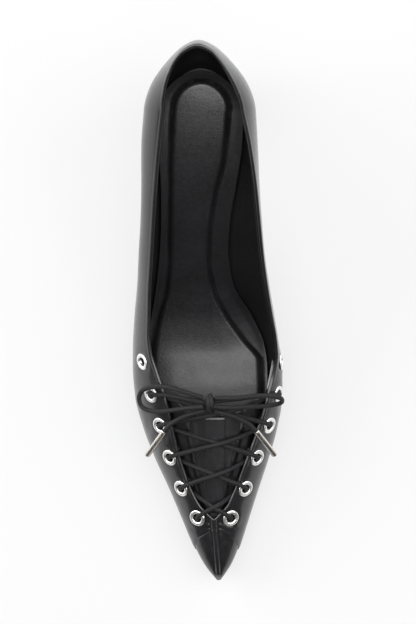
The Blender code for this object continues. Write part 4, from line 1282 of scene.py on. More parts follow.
@dataclass
class Bow:
    """The free lengths of the lace: knot, two loops, and two ends with their metal tips."""

    finishes: Finishes
    knot: Triple = (3.2, 89.6, 48.8)
    knot_half: Triple = (2.3, 3.5, 2.2)
    wrap_points: int = 44
    wrap_turns: float = 1.25
    loop_lateral: tuple[Triple, ...] = (
        (0.2, 91.9, 49.4), (-3.5, 93.0, 50.2), (-8.8, 94.7, 50.4), (-14.1, 96.3, 49.2),
        (-19.5, 97.0, 46.8), (-25.0, 96.3, 43.2), (-29.1, 94.4, 39.4), (-30.6, 90.5, 36.8),
        (-28.9, 86.5, 36.8), (-23.6, 84.8, 39.6), (-16.8, 85.3, 44.2), (-10.6, 86.4, 47.4),
        (-4.4, 87.2, 49.2), (0.2, 87.6, 49.6),
    )
    loop_medial: tuple[Triple, ...] = (
        (6.2, 91.6, 49.6), (9.5, 91.8, 51.0), (15.4, 91.9, 52.2), (22.3, 92.6, 51.8),
        (28.6, 93.0, 50.6), (32.6, 92.6, 49.7), (36.8, 91.4, 46.8), (36.8, 89.2, 42.2),
        (32.7, 87.9, 39.6), (28.2, 87.4, 41.2), (22.5, 87.4, 45.2), (16.0, 87.2, 48.2),
        (10.5, 87.3, 49.6), (6.2, 87.6, 49.6),
    )
    end_lateral: tuple[Triple, ...] = (
        (1.0, 85.6, 47.6), (-2.6, 84.8, 47.4), (-7.2, 83.4, 46.4), (-11.5, 81.4, 44.4),
        (-15.6, 78.6, 42.6), (-18.4, 75.4, 41.0),
    )
    end_medial: tuple[Triple, ...] = (
        (5.6, 85.4, 47.6), (8.8, 84.6, 47.6), (13.0, 83.4, 46.8), (17.6, 81.4, 45.2),
        (21.8, 78.8, 43.2), (25.0, 75.6, 41.4),
    )
    tip_lateral: Triple = (-27.6, 62.6, 32.0)
    tip_medial: Triple = (33.8, 63.6, 33.0)
    aglet_radius: float = 1.35
    aglet_length: float = 17.5
    inside_aglet: float = 7.5

    def build(self) -> None:
        knot = self.build_knot()
        dress(knot, self.finishes.cord, Slot.LACE, "lace_knot")
        for name, route in (("lateral", self.loop_lateral), ("medial", self.loop_medial)):
            loop, path = self.build_cord(f"bow_loop_{name}", route)
            dress(loop, self.finishes.cord, Slot.LACE, f"lace_loop_{name}")
            self.declare(loop, path, "object", [knot] if name == "lateral" else [])
        ends = (("lateral", self.end_lateral, self.tip_lateral), ("medial", self.end_medial, self.tip_medial))
        for name, route, tip in ends:
            into = (Vector(tip) - Vector(route[-1])).normalized()
            hidden = [Vector(route[-1]) + into * self.inside_aglet * share for share in (0.45, 1.0)]
            end, path = self.build_cord(f"bow_end_{name}", [*route, *hidden])
            dress(end, self.finishes.cord, Slot.LACE, f"lace_end_{name}")
            aglet = self.build_aglet(f"tip_{name}", route[-1], tip)
            dress(aglet, self.finishes.aglet, Slot.AGLET, f"aglet_{name}")
            self.declare(end, path, "fitting", [aglet])

    @staticmethod
    def build_cord(name: str, route: Sequence[Triple]) -> tuple[Piece, list[Vector]]:
        """Build one length of cord, and return it with the points of its centre line."""
        path = smooth_route(route, CORD_STEP)
        return tube(name, path, CORD_RADIUS), path

    @staticmethod
    def declare(piece: Piece, path: list[Vector], far_end: str, carried: list[Piece]) -> None:
        """Take a free length and do nothing with it.

        Args:
            piece: the cord; not used.
            path: its centre line in millimetres; not used.
            far_end: what its far end is; not used.
            carried: the pieces on it; not used.
        """

    def build_knot(self) -> Piece:
        """Build the knot: the cord's two turns round the crossing lengths."""
        x, station, height = self.knot
        wide, long, tall = self.knot_half
        wrap = []
        for k in range(self.wrap_points + 1):
            share = k / self.wrap_points
            turn = 2 * math.pi * share * self.wrap_turns + 0.6
            wrap.append((
                x + mix(-0.9, 0.9, share) + 0.35 * math.sin(turn),
                station + (long - 0.3) * math.cos(turn), height + (tall - 0.1) * math.sin(turn),
            ))
        core = ((-wide, 1.3, 0.3), (-0.8, 0.3, 0.2), (0.8, -0.3, 0.1), (wide, -1.2, 0.3))
        cross = ((-wide, -1.5, 0.2), (-0.8, -0.5, -0.6), (0.8, 0.5, -0.6), (wide, 1.5, 0.2))
        parts = [tube("knot_wrap", wrap, CORD_RADIUS)]
        for name, steps in (("knot_core", core), ("knot_cross", cross)):
            route = [(x + a, station + b, height + c) for a, b, c in steps]
            parts.append(tube(name, smooth_route(route, 0.5), CORD_RADIUS * 1.15))
        return join("bow_knot", parts)

    def build_aglet(self, name: str, start: Triple, tip: Triple) -> Piece:
        """Build a metal tip: a tube with a rolled rim where the cord goes in and a closed round end."""
        begin = Vector(start)
        way = (Vector(tip) - begin).normalized()
        r, length = self.aglet_radius, self.aglet_length
        profile = [
            (0.0, 0.5), (r - 0.35, 0.5), (r - 0.35, 0.05), (r - 0.2, -0.1), (r - 0.05, -0.08),
            (r + 0.04, 0.08), (r + 0.04, 0.42), (r - 0.03, 0.6), (r, 0.9), (r, length - 1.1),
            (r - 0.04, length - 0.7), (r - 0.16, length - 0.32), (r - 0.42, length - 0.08),
            (r - 0.75, length), (0.0, length),
        ]
        return turned(name, profile, 40, turn_to(way, begin))


def join(name: str, parts: Sequence[Piece]) -> Piece:
    """Put several meshes together as one piece.

    Args:
        name: the piece's name.
        parts: the meshes; they are used up.

    Returns:
        The object.
    """
    work = bmesh.new()
    for part in parts:
        work.from_mesh(part.data)
    for part in parts:
        bpy.data.meshes.remove(part.data)
    return solid(name, work, SOFT_EDGE)


@dataclass
class Lacing:
    """The cord's way through the eyelets, from the bar at the bottom up to the knot."""

    last: Last
    finishes: Finishes
    knot: Triple
    over: float = 1.35
    under: float = -3.05
    through: Pair = (-1.6, 0.2)
    bar_depth: float = 2.9
    middles_lateral: tuple[float, ...] = (0.9, -1.35, 0.9, -1.2)
    middles_medial: tuple[float, ...] = (-1.35, 0.9, -1.35, 1.1)

    def hole(self, side: Side, row: EyeletRow, height: float) -> Vector:
        """Return a place on the axis of an eyelet, at a height over the leather."""
        _, place, normal = self.last.eyelet_seat(side, row)
        return Vector(place + normal * height)

    def crossing(self, start: Side, low: EyeletRow, high: EyeletRow, middle: float) -> list[Vector]:
        """Lay the cord up out of one hole, across, and under the other facing to the next hole.

        Args:
            start: the facing that it starts on.
            low: the eyelet that it comes out of.
            high: the eyelet on the other side that it goes under.
            middle: its height over the vamp's line where it crosses the centre.

        Returns:
            Places in millimetres.
        """
        end = start.other()
        angle_a, angle_b = self.last.eyelet_seat(start, low)[0], self.last.eyelet_seat(end, high)[0]
        edge_a = self.last.side_section(start, low.station + 1.0).edge_angle
        edge_b = self.last.side_section(end, high.station - 1.0).edge_angle
        whole = math.pi - angle_a - angle_b
        first, leave = (edge_a - angle_a) / whole, 1 - (edge_b - angle_b) / whole
        heights = (
            (0.14 * first, 1.0), (0.5 * first, self.over), (first, self.over - 0.05),
            (mix(first, 0.5, 0.5), mix(self.over, middle, 0.5)), (0.5, middle),
            (mix(0.5, leave, 0.5), mix(middle, self.under, 0.55)), (leave, self.under + 0.1),
            (mix(leave, 1.0, 0.5), self.under), (mix(leave, 1.0, 0.86), self.under - 0.15),
        )
        route = [self.hole(start, low, h) for h in self.through]
        for share, height in heights:
            station = mix(low.station, high.station, share)
            turn = mix(angle_a, math.pi - angle_b, share)
            side = start if turn <= math.pi / 2 else end
            section = self.last.side_section(side, station)
            route.append(Vector(section.point(min(turn, math.pi - turn), -height, section.arch)))
        return route

    def leg(self, side: Side, row: EyeletRow) -> list[Vector]:
        """Lay the cord from the last laced hole over the facing into the knot."""
        angle, _, _ = self.last.eyelet_seat(side, row)
        section = self.last.side_section(side, row.station)
        route = [self.hole(side, row, h) for h in self.through]
        for share, height in ((0.15, 1.1), (0.5, 1.5), (1.0, 1.6)):
            turn = mix(angle, section.edge_angle + 0.1, share)
            route.append(Vector(section.point(turn, -height)))
        end = Vector(self.knot) + Vector((side.value * 1.8, 0.2 * side.value, -0.9))
        route.append(route[-1].lerp(end, 0.55) + Vector((0.0, 0.0, 0.3)))
        route.append(end)
        return route

    def strand(self, start: Side, middles: Sequence[float]) -> list[Vector]:
        """Lay one half of the cord from its first hole to the knot.

        Args:
            start: the facing of its first hole.
            middles: its height at each crossing of the centre, from the bottom up.

        Returns:
            Places in millimetres.
        """
        rows = EYELETS[:0:-1]
        side = start
        route: list[Vector] = []
        for low, high, middle in zip(rows, rows[1:], middles):
            route += self.crossing(side, low, high, middle)
            side = side.other()
        return route + self.leg(side, rows[-1])

    def build(self) -> None:
        """Build the cord as one piece: bar and both halves."""
        bottom = EYELETS[-1]
        first, second = (self.hole(side, bottom, 0.0) for side in Side)
        bar = [self.hole(Side.LATERAL, bottom, -self.bar_depth)]
        for share, station, depth in ((0.3, 35.6, 2.9), (0.5, 36.6, 2.6), (0.7, 35.6, 2.9)):
            height = self.last.crown_z.at(station) - depth
            bar.append(Vector((mix(first.x, second.x, share), station, height)))
        bar.append(self.hole(Side.MEDIAL, bottom, -self.bar_depth))
        lateral = self.strand(Side.LATERAL, self.middles_lateral)
        medial = self.strand(Side.MEDIAL, self.middles_medial)
        route = smooth_route([*reversed(lateral), *bar, *medial], CORD_STEP)
        lace = tube("lace_through_eyelets", route, CORD_RADIUS, 14)
        dress(lace, self.finishes.cord, Slot.LACE, "lace_crossings")


@dataclass
class Upper:
    """Toe piece, wings with facings and quarters, and the lining inside them."""

    last: Last
    finishes: Finishes
    step: float = 0.6
    wing_start: float = 16.2
    toe_end: float = 19.2
    ridge: float = 0.6
    edge_round: float = 0.7
    punched: float = 2.75
    punch_depth: float = 7.0
    seam_half: float = 1.15
    front_cut: float = 0.35
    skirt_depth: float = 1.1
    fold_depth: float = 1.72
    fold_end: float = 3.6
    lining_depths: Pair = (1.78, 2.0)
    band_start: float = 113.5
    band_rows: tuple[int, int] = (5, 15)
    band_depths: Pair = (2.03, 2.32)
    layer_round: float = 0.35
    creases: tuple[Crease, ...] = (
        Crease(Side.MEDIAL, ((23.0, 0.92), (24.5, 0.76), (24.0, 0.6)), 0.45, 1.7),
        Crease(Side.MEDIAL, ((18.6, 0.95), (19.6, 0.82), (20.4, 0.66)), 0.35, 1.4),
        Crease(Side.LATERAL, ((20.0, 0.9), (22.5, 0.72), (24.0, 0.55)), 0.25, 1.8),
        Crease(Side.LATERAL, ((72.0, 0.74), (66.0, 0.6), (63.0, 0.44)), 0.25, 1.5),
        Crease(Side.LATERAL, ((80.0, 0.7), (75.0, 0.56), (73.0, 0.4)), 0.3, 1.7),
        Crease(Side.LATERAL, ((93.0, 0.66), (88.0, 0.52), (85.0, 0.36)), 0.25, 1.8),
        Crease(Side.MEDIAL, ((60.0, 0.78), (58.0, 0.62), (59.0, 0.46)), 0.22, 1.5),
        Crease(Side.MEDIAL, ((78.0, 0.72), (74.0, 0.58), (73.0, 0.42)), 0.28, 1.7),
        Crease(Side.MEDIAL, ((92.0, 0.66), (87.0, 0.5), (86.0, 0.34)), 0.25, 1.8),
    )
    toe_creases: tuple[Crease, ...] = (
        Crease(Side.MEDIAL, ((13.0, 0.95), (14.5, 0.8), (15.0, 0.64)), 0.35, 1.4),
        Crease(Side.MEDIAL, ((8.5, 0.92), (11.0, 0.74)), 0.2, 1.2),
        Crease(Side.LATERAL, ((11.0, 0.95), (13.5, 0.8), (14.0, 0.62)), 0.22, 1.4),
    )
    toe_wides: tuple[float, ...] = (
        0.0, 0.25, 0.6, 1.2, 2.0, 3.0, 4.2, 5.6, 7.0, 8.5, 10.0, 11.5, 13.0, 14.5, 15.6, 16.6, 17.9, 19.2,
    )
    near: tuple[float, ...] = (
        0.0, 0.12, 0.3, 0.55, 0.85, 1.2, 1.5, 1.75, 2.0, 2.3, 2.7, 3.2, 3.9, 4.8, 5.8, 7.0, 8.4, 10.0,
    )

    @staticmethod
    def sides(start: float, end: float, step: float) -> list[float]:
        """Return the widest stations of a run of columns, closer together near the toe."""
        stations = [start]
        while stations[-1] < end - 1e-6:
            here = stations[-1]
            stations.append(min(end, here + (step if here > 40 else step * 0.75)))
        return stations

    def build(self) -> None:
        """Build the leather, the lining and the toe piece."""
        wings = self.sides(self.wing_start, 25.0, 1.1) + self.sides(25.0, HEEL_CENTRE, 1.7)[1:]
        grid = SkinGrid(self.last, columns_round(wings, 67, 88), self.near, 30)
        self.build_leather(grid)
        self.build_lining(grid)
        self.build_toe_piece()

    def seam_relief(self, grid: SkinGrid) -> Grid:
        """Return the raised centre seam with its puckers, in millimetres.

        Args:
            grid: the faces of the upper.

        Returns:
            A height in millimetres for each point.
        """
        fall, station = grid.fall, grid.outer[:, :, 1]
        pucker = np.sin(2 * np.pi * station / 2.9 + 0.8 * np.sin(station * 0.9))
        height = self.ridge * swell(fall, 0.0, self.seam_half, 4) - 0.45 * swell(fall, 1.95, 0.5)
        height += 0.14 * pucker * swell(fall, 3.0, 1.7)
        return np.where(grid.closed[:, None], height * np.clip((station - 2.5) / 5.0, 0.0, 1.0), 0.0)

    def seat_relief(self, grid: SkinGrid) -> Grid:
        """Return the dimple that each eyelet presses into the facing, in millimetres.

        Args:
            grid: the faces of the upper.

        Returns:
            A height in millimetres for each point.
        """
        relief = np.zeros(grid.fall.shape)
        for _, _, place, _ in self.last.eyelet_seats():
            gap = np.linalg.norm(grid.outer - place, axis=2)
            relief += 0.1 * swell(gap, 5.6, 1.3) - 0.22 * swell(gap, 0.0, 4.2, 4)
        return relief

    @staticmethod
    def rounding(fall: Grid, radius: float) -> Grid:
        """Return how far a folded edge falls away near its end."""
        near = np.clip(1 - fall / radius, 0.0, 1.0)
        return radius * (1 - np.sqrt(np.maximum(0.0, 1 - near * near)))

    def build_leather(self, grid: SkinGrid) -> None:
        """Build the wings, facings and quarters in one shell with punched holes.

        Args:
            grid: the faces of the upper.
        """
        is_open = np.where(grid.closed[:, None], 0.0, np.ones(grid.fall.shape))
        relief = self.seam_relief(grid) + self.seat_relief(grid)
        relief += grid.crease_relief(self.last, self.creases)
        relief -= is_open * (0.06 * swell(grid.fall, 2.2, 0.45) - 0.05 * swell(grid.fall, 1.2, 0.5))
        wide = np.array([column.wide for column in grid.columns])[:, None]
        front = self.front_cut * np.clip(1 - (wide - self.wing_start) / 1.2, 0.0, 1.0)
        outer_depth = is_open * self.rounding(grid.fall, self.edge_round) + front
        skirt = np.where(wide < self.toe_end + 0.4, self.step - 0.04, self.skirt_depth)
        folded = np.clip(1 - (grid.fall - self.fold_end) / 0.5, 0.0, 1.0) * is_open
        behind = skirt + (self.fold_depth - skirt) * folded
        rounded = np.maximum(behind - is_open * self.rounding(grid.fall, 0.8), outer_depth + 0.02)
        maker = MeshMaker()
        maker.shell(
            grid.at_depth(outer_depth) + grid.normal * relief[:, :, None],
            grid.at_depth(np.minimum(behind, rounded)), grid.closed,
        )
        punched = self.punch(maker.finish("uncut_leather", SOFT_EDGE), "upper_leather")
        self.paint_edges(punched, grid)
        dress(punched, self.finishes.upper, Slot.UPPER, "upper")

    def punch(self, shell: Piece, name: str) -> Piece:
        """Cut the eyelet holes.

        Args:
            shell: the leather; it is used up.
            name: name of the punched piece.

        Returns:
            The punched piece.
        """
        work = bmesh.new()
        for _, _, place, normal in self.last.eyelet_seats():
            bmesh.ops.create_cone(
                work, cap_ends=True, segments=28, radius1=self.punched * MM, radius2=self.punched * MM,
                depth=self.punch_depth * MM, matrix=turn_to(normal, place),
            )
        cutter = solid("punches", work)
        cut = shell.modifiers.new("eyelet holes", "BOOLEAN")
        cut.operation = "DIFFERENCE"
        cut.solver = "MANIFOLD"
        cut.object = cutter
        made = baked(shell, name)
        bpy.data.objects.remove(cutter)
        return made

    def paint_edges(self, piece: Piece, grid: SkinGrid) -> None:
        """Store how near each point is to the folded edge, for the wear.

        Args:
            piece: the leather.
            grid: the faces that it was made from.
        """
        rows = [grid.outer[i, 0] for i in range(len(grid.columns)) if not grid.closed[i]]
        line = np.array([metres(point) for point in rows])
        places = np.array([vertex.co for vertex in piece.data.vertices], dtype=float)
        nearest = np.full(len(places), 1e9)
        for spot in line:
            nearest = np.minimum(nearest, ((places - spot) ** 2).sum(axis=1))
        value = np.exp(-(np.sqrt(nearest) / (1.1 * MM)) ** 2).astype(np.float32)
        store = piece.data.attributes.new("edge_near", "FLOAT", "POINT")
        store.data.foreach_set("value", value)

    def build_lining(self, grid: SkinGrid) -> None:
        """Build the lining, whose edge stops just inside the folded topline.

        Args:
            grid: the faces of the upper.
        """
        keep = [i for i in range(len(grid.columns)) if not grid.closed[i]]
        lining = self.skin("uncut_lining", grid, keep, slice(6, None), self.lining_depths)
        dress(self.punch(lining, "quarter_lining"), self.finishes.lining, Slot.UPPER)
        behind = [i for i in keep if grid.columns[i].wide >= self.band_start]
        band = self.skin("topline_band", grid, behind, slice(*self.band_rows), self.band_depths)
        dress(band, self.finishes.upper, Slot.UPPER)

    def skin(self, name: str, grid: SkinGrid, keep: Sequence[int], rows: slice, depths: Pair) -> Piece:
        """Build a thin layer inside the upper, with its edges rounded inwards.

        Args:
            name: the layer's name.
            grid: the upper's points.
            keep: the columns that it covers.
            rows: the rows that it covers, counted from the edge.
            depths: where it starts and ends under the outer face.

        Returns:
            The layer.
        """
        fall = grid.fall[keep][:, rows]
        from_top, from_end = fall - fall[:, :1], fall[:, -1:] - fall
        near = np.clip(np.minimum(from_top, from_end + 0.2) / self.layer_round, 0.0, 1.0)
        outside, inside = grid.outer[keep][:, rows], grid.inner[keep][:, rows]
        front = outside + (inside - outside) * (depths[0] / grid.wall)
        thin = depths[0] + 0.06
        reach = thin + (depths[1] - thin) * np.sqrt(near)
        maker = MeshMaker()
        maker.shell(front, outside + (inside - outside) * (reach / grid.wall)[:, :, None])
        return maker.finish(name, SOFT_EDGE)

    def build_toe_piece(self) -> None:
        """Build the toe piece, which runs a little way under the wings."""
        lateral = [Column(Side.LATERAL, wide) for wide in reversed(self.toe_wides)]
        medial = [Column(Side.MEDIAL, wide) for wide in self.toe_wides[1:]]
        grid = SkinGrid(self.last, lateral + medial, self.near, 26)
        relief = self.seam_relief(grid) + grid.crease_relief(self.last, self.toe_creases)
        outer = grid.at_depth(self.step) + grid.normal * relief[:, :, None]
        maker = MeshMaker()
        maker.shell(outer, grid.at_depth(grid.wall), grid.closed)
        dress(maker.finish("toe_piece", SOFT_EDGE), self.finishes.upper, Slot.UPPER)


def baked(source: Piece, name: str) -> Piece:
    """Turn an object with its modifiers into a plain mesh.

    Args:
        source: the object; it is used up.
        name: name of the result.

    Returns:
        The plain object.
    """
    graph = bpy.context.evaluated_depsgraph_get()
    mesh = bpy.data.meshes.new_from_object(source.evaluated_get(graph))
    mesh.name = name
    bpy.data.objects.remove(source)
    return in_scene(name, mesh)


@dataclass
class UnderPanel:
    """The soft panel under the lacing, with its U-shaped throat."""

    last: Last
    finishes: Finishes
    thickness: float = 1.3
    margin_deg: float = 20.0
    start: float = 29.0
    throat: float = 83.5
    curve_length: float = 11.0
    corner: float = 110.0
    roll: float = 0.65
    pleats: tuple[Triple, ...] = (
        (-0.62, 0.08, 0.5), (-0.47, 0.05, -0.4), (-0.36, 0.05, 0.3),
        (0.37, 0.05, 0.3), (0.49, 0.05, -0.4), (0.63, 0.08, 0.5),
    )
    strip_half: float = 5.2
    strip_height: float = 0.4

    def depth(self, across: float, station: float) -> float:
        """Return how deep the panel lies: shallow in the middle, deeper under the facings."""
        flank = ease(abs(across), 0.3, 0.62)
        deeper = 0.5 * ease(station, 90.0, 110.0) - 1.3 * ease(station, 96.0, 112.0) * flank
        return mix(2.55, 4.15, flank) + deeper

    def top(self, across: float) -> float:
        """Return the station of the throat's edge.

        Args:
            across: place across the panel, 0 at its middle and 1 at an edge.

        Returns:
            The station of the throat's edge there.
        """
        out = abs(across)
        curve = min(1.0, max(0.0, (out - 0.29) / 0.61)) ** 0.8
        shoulder = self.throat + self.curve_length
        return self.throat + self.curve_length * curve + (self.corner - shoulder) * ease(out, 0.88, 1.0)

    def relief(self, across: float, along: float, to_throat: float, middle: float) -> float:
        """Return the pleats, the middle strip and the hem, in millimetres."""
        pleats = 0.0
        for centre, width, height in self.pleats:
            sway = centre + 0.03 * math.sin(5.0 * along + 9.0 * centre)
            pleats += height * swell(across, sway, width)
        pleats *= ease(along, 0.1, 0.4)
        strip = 1 - ease(middle, self.strip_half - 0.25, self.strip_half + 0.25)
        bead = 0.35 * (1 - ease(to_throat, 0.9, 1.3)) - 0.3 * swell(to_throat, 1.7, 0.4)
        return pleats * (1 - strip) + self.strip_height * strip + bead * strip

    def build(self) -> None:
        """Build the panel as one closed sheet with a rolled throat edge."""
        across = np.linspace(-1.0, 1.0, 161)
        along = np.concatenate((np.linspace(0.0, 0.9, 55), np.linspace(0.905, 1.0, 24)))
        fronts, backs = [], []
        for a in across:
            side = Side.LATERAL if a < 0 else Side.MEDIAL
            top = self.top(a)
            front, back = [], []
            for t in along:
                station = mix(self.start, top, t)
                section = self.last.side_section(side, station)
                angle = mix(math.pi / 2, section.edge_angle - math.radians(self.margin_deg), abs(a))
                to_edge = top - station
                roll = self.roll * (1 - math.sqrt(max(0.0, 1 - max(0.0, 1 - to_edge / self.roll) ** 2)))
                middle = abs(section.point(angle, 0.0, section.arch)[0] - section.x)
                depth = self.depth(a, station) - self.relief(a, t, to_edge, middle)
                front.append(section.point(angle, depth + roll, section.arch))
                back.append(section.point(angle, depth + self.thickness - roll * 0.98, section.arch))
            fronts.append(front)
            backs.append(back)
        maker = MeshMaker()
        maker.shell(fronts, backs)
        dress(maker.finish("under_panel", SOFT_EDGE), self.finishes.tongue, Slot.TONGUE, "tongue")


@dataclass
class Sock:
    """The insole with its sock: a flat border, a groove and the raised cushion."""

    last: Last
    finishes: Finishes
    gap: float = 2.25
    thickness: float = 2.2
    pad_height: float = 1.5
    pad_back: Pair = (13.5, 14.8)
    groove: float = 1.35
    groove_half: float = 0.62
    groove_pitch: float = 2.3
    lip: float = 0.8
    back_lip: float = 1.7
    back_flat: float = 1.3
    border: float = 2.6
    nose_gap: float = 0.7
    fill: float = 0.8
    front: tuple[float, ...] = (0.0, 0.3, 0.8, 1.6, 2.6, 4.0, 5.6, 7.4, 9.4, 11.6, 14.0, 17.0)
    around_pad: tuple[float, ...] = (-4.0, -3.0, -2.2, -1.6, -1.1, -0.7, -0.35, 0.0, 0.35, 0.7, 1.1, 1.6)

    def __post_init__(self) -> None:
        """Read the cushion's table."""
        lateral, medial = profiles((
            (10, 4.0, 8.0), (30, -5.0, 14.5), (60, -18.0, 23.0), (90, -26.0, 28.5), (105, -26.5, 28.0),
            (118, -25.0, 18.5), (130, -22.0, 10.2), (142, -18.6, 4.6), (155, -17.0, 2.6),
            (170, -16.4, 3.4), (185, -15.6, 6.0), (205, -15.0, 11.0), (225, -13.9, 13.2),
        ))
        self.pad = {Side.LATERAL: lateral, Side.MEDIAL: medial}

    def spoke(self, column: Column) -> tuple[Vector, Vector, float]:
        """Find one line from the middle of the sock to its edge.

        Args:
            column: the upper's column that the line ends at.

        Returns:
            The middle, the edge, and the cushion's reach along the line.
        """
        if column.side is None:
            flat = self.back_flat * swell(column.angle, 0.0, 24.0)
            middle, edge = self.last.spoke(column, -self.gap - flat)
            return middle, edge, mix(*self.pad_back, math.cos(math.radians(column.angle)))
        middle, edge = self.last.spoke(column, -self.gap, self.last.nose_fill + self.nose_gap)
        if column.wide < self.last.tip_width:
            return middle, edge, 0.0
        return middle, edge, column.side.value * (self.pad[column.side].at(middle.y) - middle.x)

    def height(self, distance: float, reach: float, pad: float, station: float) -> float:
        """Return the sock's height over the sole at a distance from its middle.

        Args:
            distance: distance from the sock's middle, in millimetres.
            reach: the same distance of its edge.
            pad: the same distance of the cushion's edge.
            station: where the point lies along the shoe.

        Returns:
            The height over the sole.
        """
        show = ease(station, 40.0, 70.0)
        into = pad - distance
        raised = ease(into, -0.2, 2.6) ** 0.8
        plump = 0.35 * ease(into, 0.0, 12.0)
        stitch = 1.0 + 0.22 * math.sin(2 * math.pi * station / self.groove_pitch)
        cut = stitch * swell(distance, pad, self.groove_half)
        side_lip = self.lip * ease(distance, reach - 2.4, reach - 0.4)
        back_lip = self.back_lip * ease(distance, pad + 1.0, reach + 1.0)
        lip = mix(side_lip, back_lip, ease(station, 205.0, 232.0))
        return self.thickness + show * (self.pad_height * raised + plump - self.groove * cut) + lip

    def build(self) -> None:
        """Build the sock from spokes all round."""
        sides = [*self.front, *np.arange(20.0, HEEL_CENTRE + 0.1, 2.05)[:-1], HEEL_CENTRE]
        tops, bottoms = [], []
        for column in columns_round(sides, 44, 86):
            middle, edge, pad = self.spoke(column)
            reach = (edge - middle).length
            pad = max(0.0, min(pad, reach - self.border))
            near = [pad + step for step in self.around_pad]
            base = [share * max(0.0, pad - 5.0) for share in (0.0, 0.2, 0.4, 0.6, 0.8, 1.0)]
            rim = [mix(pad + 2.0, reach, share) for share in (0.2, 0.55, 0.8, 0.92, 1.0)]
            top, bottom = [], []
            for distance in base + near + rim:
                distance = min(reach, max(0.0, distance))
                spot = middle + (edge - middle).normalized() * distance
                low = self.last.foot_height(spot.y) + 0.02
                high = low + self.height(distance, reach, pad, spot.y)
                top.append((spot.x, spot.y, high))
                bottom.append((spot.x, spot.y, low))
            tops.append(top)
            bottoms.append(bottom)
        maker = MeshMaker()
        upper, lower = maker.sheet([*tops, tops[0]]), maker.sheet([*bottoms, bottoms[0]])
        maker.strip([row[-1] for row in upper], [row[-1] for row in lower])
        sock = maker.finish("sock", 70.0)
        dress(sock, self.finishes.sock, Slot.SOCK, "insole")


